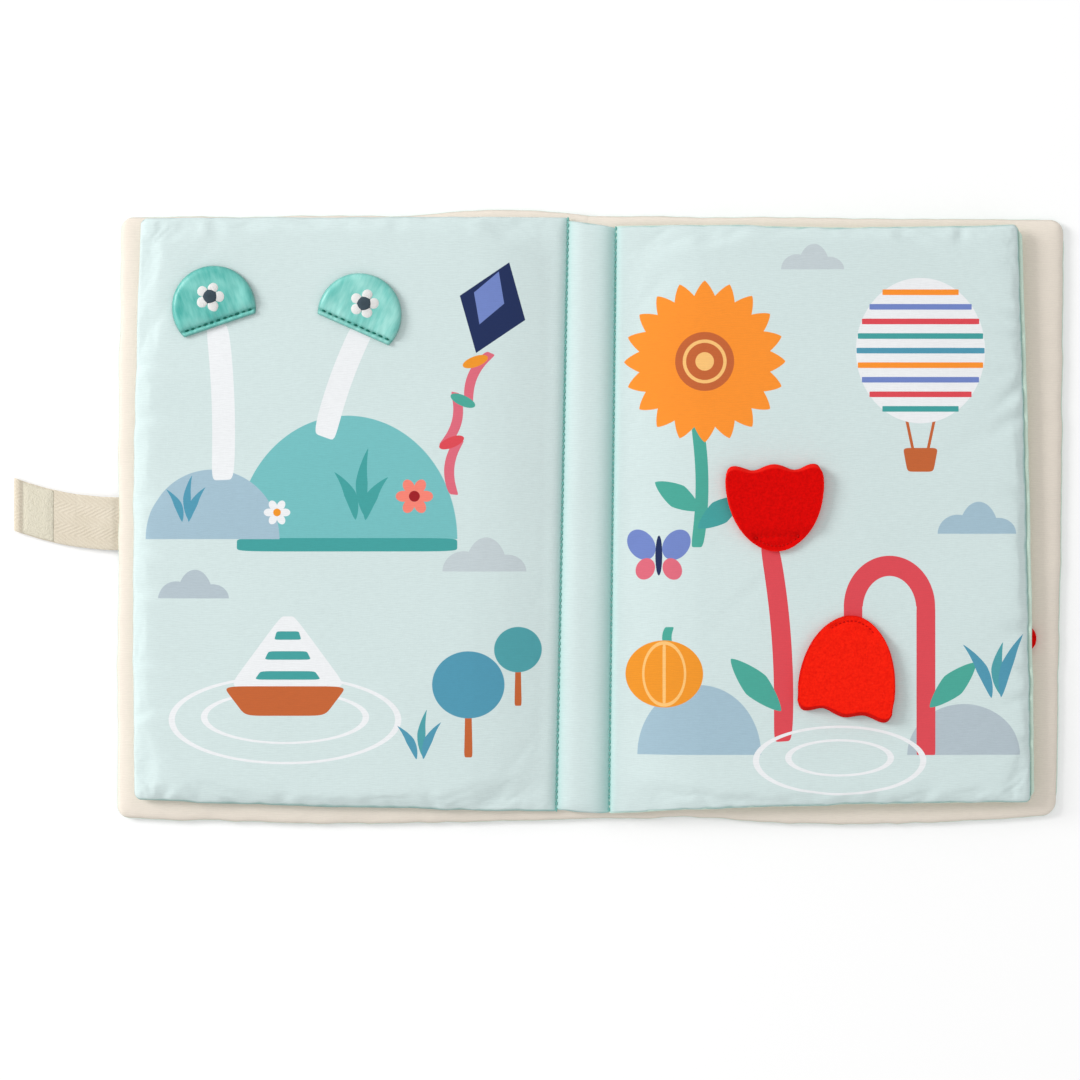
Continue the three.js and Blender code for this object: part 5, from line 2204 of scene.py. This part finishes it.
@dataclass
class FeltFlap:
    """A flap of thick felt, sewn down at its narrow end, with three lobes at its free end.

    Attributes:
        which: Which of the two flaps it is.
        width: Its greatest width.
        length: Its length.
        curl: How far its free end rises.
        skew: How much longer its right side is.
        root: Length of the part that is sewn down.
        thickness: The felt's thickness.
        sewn: Its thickness where it is sewn down.
        slope: How far its cut edge slopes outwards at the free end.
        tip: Length of its elliptic narrow end.
        line: Distance of a straight row of stitches from its tip, 0 for none.
        inset: Distance of the stitches from its cut edge.
        arc: Half the angle of the row of stitches round its narrow end, in degrees.
        arc_stitches: How many stitches that row has.
        line_stitches: How many the straight row has.
        dimple: How deep a stitch presses into the felt.
        dimple_width: How wide that dimple is.
        bend: Where its bend starts and ends, from its fold line.
        cells: Cells across it and along it.
    """

    which: str
    width: float
    length: float
    curl: float
    skew: float
    tip: float
    line: float = 0.0
    root: float = 7 * MM
    thickness: float = 3 * MM
    sewn: float = 1.8 * MM
    slope: float = 1.3 * MM
    inset: float = 2.0 * MM
    arc: float = 31.0
    arc_stitches: int = 12
    line_stitches: int = 8
    dimple: float = 0.55 * MM
    dimple_width: float = 0.95 * MM
    bend: Pair = (-1.2 * MM, 2.6 * MM)
    cells: int = 44

    def __post_init__(self) -> None:
        """Reads the flap's fold line and the page's height under it."""
        self.fold = FoldLine.of(f"felt_flap_{self.which}_lift")
        self.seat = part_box(f"felt_flap_{self.which}_felt")[0].z

    def half_width(self, y: float) -> float:
        """Half the felt's width at a distance from its tip."""
        opened = math.sqrt(1 - (1 - clamp(y / self.tip)) ** 2)
        return self.width / 2 * opened * (1 - 0.02 * smooth((y - self.tip) / (5 * MM)))

    def start(self, across: float) -> float:
        """Where the felt starts at a share across its narrow end."""
        return self.tip * (1 - math.sqrt(1 - (0.42 * across) ** 2))

    def outline(self, u: float, v: float) -> Pair:
        """The felt's flat shape: an elliptic narrow end that widens to the lobed free end."""
        across = 2 * u - 1
        lobes = 1.0 * MM * (1 - math.cos(2 * math.pi * across / 0.9)) * (1 - 0.35 * abs(across))
        corner = 2.3 * MM * abs(across) ** 14
        end = self.length - lobes - corner + self.skew * across
        reach = self.half_width(mix(self.start(1.0), self.length, v))
        return across * reach, mix(self.start(across), end, v)

    def rim(self, u: float, v: float) -> float:
        """Distance to the felt's cut edge."""
        sides = (1 - abs(2 * u - 1)) * self.width / 2
        return min(sides, v * self.length, (1 - v) * self.length)

    def lift(self, y: float) -> float:
        """How far the felt rises off the page towards its free end."""
        share = clamp((y - self.root) / (self.length - self.root))
        return self.curl * share ** 2.2

    def rows(self) -> list[list[Pair]]:
        """The rows of stitches, as points in the felt's own plane."""
        arc = []
        for step in range(self.arc_stitches + 1):
            angle = math.radians(mix(-self.arc, self.arc, step / self.arc_stitches))
            x = (self.width / 2 - self.inset) * math.sin(angle)
            arc.append((x, self.tip - (self.tip - self.inset) * math.cos(angle)))
        if not self.line:
            return [arc]
        reach = self.half_width(self.line) - self.inset
        shares = [step / self.line_stitches for step in range(self.line_stitches + 1)]
        return [arc, [(mix(-reach, reach, share), self.line) for share in shares]]

    def top(self, u: float, v: float) -> Vector:
        """A point of the felt's upper face."""
        x, y = self.outline(u, v)
        free = smooth((v - 0.75) / 0.25)
        y -= self.slope * smooth((v - 0.9) / 0.1)
        thick = mix(self.sewn, self.thickness, smooth((y - 4.4 * MM) / (5.0 * MM)))
        for row in self.rows():
            for start, end in zip(row, row[1:]):
                middle = Vector(((start[0] + end[0]) / 2, (start[1] + end[1]) / 2))
                away = (Vector((x, y)) - middle).length
                thick -= self.dimple * math.exp(-((away / self.dimple_width) ** 2))
        uneven = 0.12 * MM * ripple(x, y, 71.0 + len(self.which), 4.2 * MM)
        uneven += 0.07 * MM * ripple(x, y, 73.0, 1.6 * MM) - 0.25 * MM * free
        return self.fold.at(x, y - self.root, self.seat + thick + self.lift(y) + uneven)

    def build(self, finishes: Finishes) -> None:
        """Builds the felt, rounded along its cut edge, and its stitches."""
        name = f"felt_flap_{self.which}"
        bm = grid_mesh(self.cells, self.cells, self.top, self.outline, {RIM: self.rim})
        slab_below(bm, self._under)
        # The lower flap takes the lighter painted copy of the felt, the upper one the darker.
        felt = mesh_piece(name, bm, finishes.felt if self.which == "upper" else finishes.lit_felt)
        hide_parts(f"{name}_felt", f"{name}_root")
        start, end = (self.fold.at(0.0, away, self.seat) for away in self.bend)
        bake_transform(felt, "right_leaf", name, start=start, end=end)
        for number, row in enumerate(self.rows()):
            points = [self.fold.at(x, y - self.root, self.seat + self.sewn - 0.5 * MM) for x, y in row]
            stitches = stitch_row(f"{name}_stitches_{number}", points, 0.8, 0.3 * MM, finishes.red_thread)
            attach(stitches, "right_leaf")
            if number == 0:
                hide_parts(f"{name}_stitching")
        log.info("%s: felt and stitches", name)

    def _under(self, point: Vector) -> Vector:
        """The point of the felt's lower face under a point of its upper face."""
        flat = point - self.fold.origin
        x, y = flat.dot(self.fold.across), flat.dot(self.fold.out) + self.root
        share = smooth((y / self.length - 0.86) / 0.08)
        y += self.slope * share
        return self.fold.at(x, y - self.root, self.seat + self.lift(y))


@dataclass
class FeltTab:
    """The small rounded felt piece under the fore edge of the right leaf."""

    def build(self, finishes: Finishes) -> None:
        """Builds the tab with a rounded end and softened edges."""
        low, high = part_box("right_leaf_felt_tab")
        length, width = high.x - low.x + 1.9 * MM, high.y - low.y

        def outline(u: float, v: float) -> Pair:
            """The tab's flat shape, round at its outer end."""
            across = 2 * v - 1
            reach = length * (1 - 0.42 * (1 - math.sqrt(max(0.0, 1 - (0.99 * across) ** 2))))
            return low.x + u * reach, (low.y + high.y) / 2 + across * width / 2

        def top(u: float, v: float) -> Vector:
            """A point of the tab's upper face."""
            x, y = outline(u, v)
            return Vector((x, y, high.z + 0.08 * MM * ripple(x, y, 83.0, 2 * MM)))

        bm = grid_mesh(10, 14, top, outline, {RIM: lambda u, v: 2 * MM})
        slab_below(bm, lambda point: Vector((point.x, point.y, low.z)), 0.35 * MM)
        tab = mesh_piece("felt_tab", bm, finishes.felt)
        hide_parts("right_leaf_felt_tab")
        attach(tab, "right_leaf")
        log.info("felt tab")


@dataclass
class Strap:
    """The webbing strap, in two stretches that meet half way, with its hook patch and loop patch.

    Attributes:
        width: Width of the webbing.
        sweep: How far its end swings to one side.
        patch: Length of the hook patch.
        hem: Length of the end that is folded over.
        thickness: Thickness of the webbing.
        pressed: Its thickness in the cover's seam.
        folded: How much higher its folded end stands.
        sunk: How far it sinks towards the floor past the cover.
        bend: Half the length over which it bends at a fold.
    """

    width: float = 19.8 * MM
    sweep: float = 7.2 * MM
    patch: float = 12.0 * MM
    hem: float = 2.9 * MM
    thickness: float = 1.25 * MM
    pressed: float = 0.55 * MM
    folded: float = 0.75 * MM
    sunk: float = 0.75 * MM
    bend: float = 3.5 * MM

    def __post_init__(self) -> None:
        """Reads where the strap starts, folds and ends."""
        root_low, root_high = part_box("strap_root")
        self.inner, self.outer = root_high.x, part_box("strap_end")[0].x
        self.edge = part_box("left_cover_outer_cloth")[0].x
        self.base, self.top = root_low.z, root_high.z
        fold = FoldLine.of("strap_fold").origin
        self.middle, self.fold = fold.y, fold.x
        self.tip = FoldLine.of("strap_tip_fold").origin.x

    def centre(self, x: float) -> float:
        """The Y of the strap's middle line."""
        share = (self.edge - x) / (self.edge - self.outer)
        return self.middle + self.sweep * max(0.0, share) ** 2

    def drop(self, x: float) -> float:
        """How far the strap has sunk towards the floor."""
        return -self.sunk * smooth((self.edge - 2 * MM - x) / (22 * MM))

    def caught(self, x: float) -> float:
        """How far the strap is pressed together in the cover's seam, from 0 to 1."""
        return smooth((x - self.edge + 2.2 * MM) / (2.4 * MM))

    def face(self, x: float, across: float) -> Vector:
        """A point of the webbing's upper face, with its thinner selvedges and its folded end."""
        bulk = self.thickness - 0.3 * MM * smooth((abs(across) - 0.93) / 0.07)
        bulk = mix(bulk, self.pressed, self.caught(x))
        folded = self.folded * smooth((self.outer + self.hem - x) / (0.5 * MM))
        tucked = self.folded * smooth((self.outer + 0.5 * MM - x) / (0.6 * MM))
        uneven = 0.12 * MM * ripple(x, across, 91.0, 6 * MM)
        y = self.centre(x) + across * (self.width / 2 + uneven)
        return Vector((x, y, self.base + bulk + folded - tucked + self.drop(x)))

    def ribbon(self, name: str, start: float, end: float, material: bpy.types.Material) -> bpy.types.Object:
        """Lays a stretch of webbing.

        Args:
            name: The piece's name.
            start: The X nearest the book.
            end: The X furthest from it.
            material: Its finish.

        Returns:
            The stretch, closed all round.
        """
        columns = max(6, round((start - end) / (0.8 * MM)))

        def flat(u: float, v: float) -> Pair:
            """The webbing's own coordinates: across in U and along in V."""
            return (v - 0.5) * self.width, mix(start, end, u)

        bm = grid_mesh(columns, 30, lambda u, v: self.face(mix(start, end, u), 2 * v - 1), flat)
        slab_below(bm, lambda point: Vector((point.x, point.y, self.base + self.drop(point.x))), 0.25 * MM)
        return mesh_piece(name, bm, material)

    def build(self, finishes: Finishes) -> None:
        """Builds both stretches, the hook patch, its stitches and the loop patch."""
        half_way = (self.fold + self.tip) / 2
        near = self.ribbon("strap_webbing_near", self.inner, half_way, finishes.webbing)
        far = self.ribbon("strap_webbing_far", half_way + 0.6 * MM, self.outer, finishes.webbing)
        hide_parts("strap_root", "strap_webbing")
        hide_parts("strap_end")
        near_ends = self._bend_ends(self.fold + 2.2 * MM, self.fold - self.bend)
        far_ends = self._bend_ends(self.tip + self.bend, self.tip - self.bend)
        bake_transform(near, "left_cover", "strap", *near_ends)
        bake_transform(far, "strap", "strap_tip", *far_ends)
        self._hooks(finishes, far_ends)
        self._loops(finishes)
        log.info("strap: two stretches, hook patch and loop patch")

    def _bend_ends(self, start: float, end: float) -> tuple[Vector, Vector]:
        """The two ends of a bend, from its two X."""
        return Vector((start, self.middle, self.top)), Vector((end, self.middle, self.top))

    def _hooks(self, finishes: Finishes, ends: tuple[Vector, Vector]) -> None:
        """Lays the hook patch on the strap's end, just inside the folded hem."""
        outer = self.outer + self.hem - 0.2 * MM
        inner = outer + self.patch
        half = self.width / 2 - 0.45 * MM

        def flat(u: float, v: float) -> Pair:
            """The tape's own coordinates."""
            return (v - 0.5) * 2 * half, mix(inner, outer, u)

        def face(u: float, v: float) -> Vector:
            """A point of the tape's upper face, whose edges go down into the webbing."""
            x = mix(inner, outer, u)
            across = 2 * v - 1
            edge = min(u * self.patch, (1 - u) * self.patch, (1 - abs(across)) * half)
            rise = 0.3 * MM * smooth(edge / (2.6 * MM)) - 0.2 * MM
            z = self.base + self.thickness + self.drop(x) + rise
            return Vector((x, self.centre(x) + across * half, z))

        patch = mesh_piece("strap_hook_tape", grid_mesh(26, 40, face, flat), finishes.tape)
        finish_cloth(patch, 0.3 * MM)
        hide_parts("strap_hook_patch")
        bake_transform(patch, "strap", "strap_tip", *ends)
        inset = 0.7 * MM

        def corner(x: float, side: float) -> Vector:
            """A corner of the stitches round the tape."""
            z = self.base + self.thickness + self.drop(x) + 0.08 * MM
            return Vector((x, self.centre(x) + side * (half - inset), z))

        a, b = corner(inner - inset, -1), corner(outer + inset, -1)
        c, d = corner(outer + inset, 1), corner(inner - inset, 1)
        points = between(a, b, 5) + between(b, c, 8)[1:] + between(c, d, 5)[1:] + between(d, a, 8)[1:]
        row = stitch_row("strap_hook_tape_stitches", points, 0.75, 0.14 * MM, finishes.cream_thread)
        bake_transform(row, "strap", "strap_tip", *ends)

    def _loops(self, finishes: Finishes) -> None:
        """Sets the loop patch into the underside of the right cover."""
        low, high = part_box("loop_patch")
        size = high - low

        def flat(u: float, v: float) -> Pair:
            """The tape's own coordinates."""
            return u * size.x, v * size.y

        def face(u: float, v: float) -> Vector:
            """A point of the tape's lower face."""
            edge = min(u * size.x, (1 - u) * size.x, v * size.y, (1 - v) * size.y)
            sink = 0.35 * MM * (1 - round_rise(edge / (0.7 * MM)))
            return Vector((low.x + u * size.x, low.y + v * size.y, low.z + 0.03 * MM + sink))

        patch = mesh_piece("cover_loop_tape", grid_mesh(26, 24, face, flat, face_down=True), finishes.tape)
        finish_cloth(patch, 0.5 * MM)
        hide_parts("loop_patch")
        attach(patch, "right_cover")
        inset = 1.1 * MM
        left, right, foot, head = low.x + inset, high.x - inset, low.y + inset, high.y - inset
        corners = [(left, foot), (right, foot), (right, head), (left, head), (left, foot)]
        ends = [Vector((x, y, low.z + 0.2 * MM)) for x, y in corners]
        points = [ends[0]]
        for start, end in zip(ends, ends[1:]):
            points += between(start, end, 9)[1:]
        row = stitch_row("cover_loop_tape_stitches", points, 0.75, 0.17 * MM, finishes.cream_thread)
        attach(row, "right_cover")


@dataclass
class Studio:
    """The pale floor, the light and the camera.

    Attributes:
        eye: Where the camera looks straight down, in metres.
        view: Width that the picture shows at the floor.
        lens: The camera's lens in millimetres.
        sensor: Width of the camera's sensor in millimetres.
        sky: How bright the room is all round.
        key: Power of the window light in watts.
        fill: Power of the fill light in watts.
        glow: How much whiter the floor is to the camera.
        drop: How far the floor is under the book's lowest point.
    """

    eye: Pair = (0.75 * MM, -8.25 * MM)
    view: float = 405 * MM
    lens: float = 100.0
    sensor: float = 36.0
    sky: float = 0.68
    key: float = 42.0
    fill: float = 3.0
    glow: float = 0.235
    drop: float = 0.3 * MM

    def build(self) -> None:
        """Sets up everything round the book."""
        scene = bpy.context.scene
        scene.view_settings.view_transform = "Standard"
        self._camera(scene)
        self._world(scene)
        self._lamp("window light", Vector((-2.1, 0.85, 1.28)), 0.95, self.key)
        self._lamp("fill light", Vector((1.4, -1.2, 2.2)), 1.8, self.fill)
        self._floor()
        log.info("studio: camera, world, two lamps and floor")

    def _camera(self, scene: bpy.types.Scene) -> None:
        """Places the camera straight above the book."""
        data = bpy.data.cameras.new("camera")
        data.lens, data.sensor_width = self.lens, self.sensor
        data.clip_start, data.clip_end = 0.01, 20.0
        camera = bpy.data.objects.new("camera", data)
        camera.location = (*self.eye, self.view * self.lens / self.sensor)
        scene.collection.objects.link(camera)
        scene.camera = camera

    def _world(self, scene: bpy.types.Scene) -> None:
        """Lights the book evenly, and shows white behind it."""
        world = bpy.data.worlds.new("soft room")
        world.use_nodes = True
        s = Shader(world.node_tree)
        background = world.node_tree.nodes["Background"]
        paths = s.node("ShaderNodeLightPath").outputs
        seen = s.math("MAXIMUM", paths["Is Camera Ray"], paths["Is Glossy Ray"])
        background.inputs["Color"].default_value = (1.0, 1.0, 1.0, 1.0)
        s.put(background.inputs["Strength"], s.math("MULTIPLY_ADD", seen, 1.0 - self.sky, self.sky))
        scene.world = world

    def _lamp(self, name: str, place: Vector, size: float, power: float) -> None:
        """Hangs a square soft light that faces the book."""
        data = bpy.data.lights.new(name, "AREA")
        data.shape = "SQUARE"
        data.size = size
        data.energy = power
        lamp = bpy.data.objects.new(name, data)
        lamp.location = place
        lamp.rotation_mode = "QUATERNION"
        lamp.rotation_quaternion = (-place).to_track_quat("-Z", "Y")
        bpy.context.scene.collection.objects.link(lamp)

    def _floor(self) -> None:
        """Lays a wide white floor just under the book, a little whiter to the camera alone."""
        bm = bmesh.new()
        bmesh.ops.create_grid(bm, x_segments=4, y_segments=4, size=6.0)
        bmesh.ops.translate(bm, verts=bm.verts[:], vec=Vector((0.0, 0.0, -self.drop)))
        material, s, face = open_material("white floor")
        grain = s.noise(s.node("ShaderNodeTexCoord").outputs["Object"], 6.0)
        white = s.grey(s.math("MULTIPLY_ADD", grain, 0.01, 0.83))
        seen = s.node("ShaderNodeLightPath").outputs["Is Camera Ray"]
        s.fill(
            face,
            Base_Color=white,
            Roughness=1.0,
            Specular_IOR_Level=0.0,
            Emission_Color=white,
            Emission_Strength=s.math("MULTIPLY", seen, self.glow),
        )
        floor = mesh_piece("floor", bm, material)


def main() -> None:
    """Builds the book from the spine outwards, and then the studio round it."""
    logging.basicConfig(level=logging.INFO, format="%(name)s: %(message)s")
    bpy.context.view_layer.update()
    finishes = Finishes()
    Covers().build(finishes)
    spine = Spine()
    spine.build(finishes)
    Leaves().build(spine, finishes)
    for side, offset in (("left", 6.95 * MM), ("right", 5.9 * MM)):
        SatinFlap(side, offset).build(finishes)
    FeltFlap("upper", 36.4 * MM, 32.4 * MM, 1.7 * MM, -0.3 * MM, 28 * MM, line=5.6 * MM).build(finishes)
    FeltFlap("lower", 35.9 * MM, 37.9 * MM, 1.4 * MM, -0.9 * MM, 30 * MM).build(finishes)
    FeltTab().build(finishes)
    Strap().build(finishes)
    Studio().build()


if __name__ == "__main__":
    main()
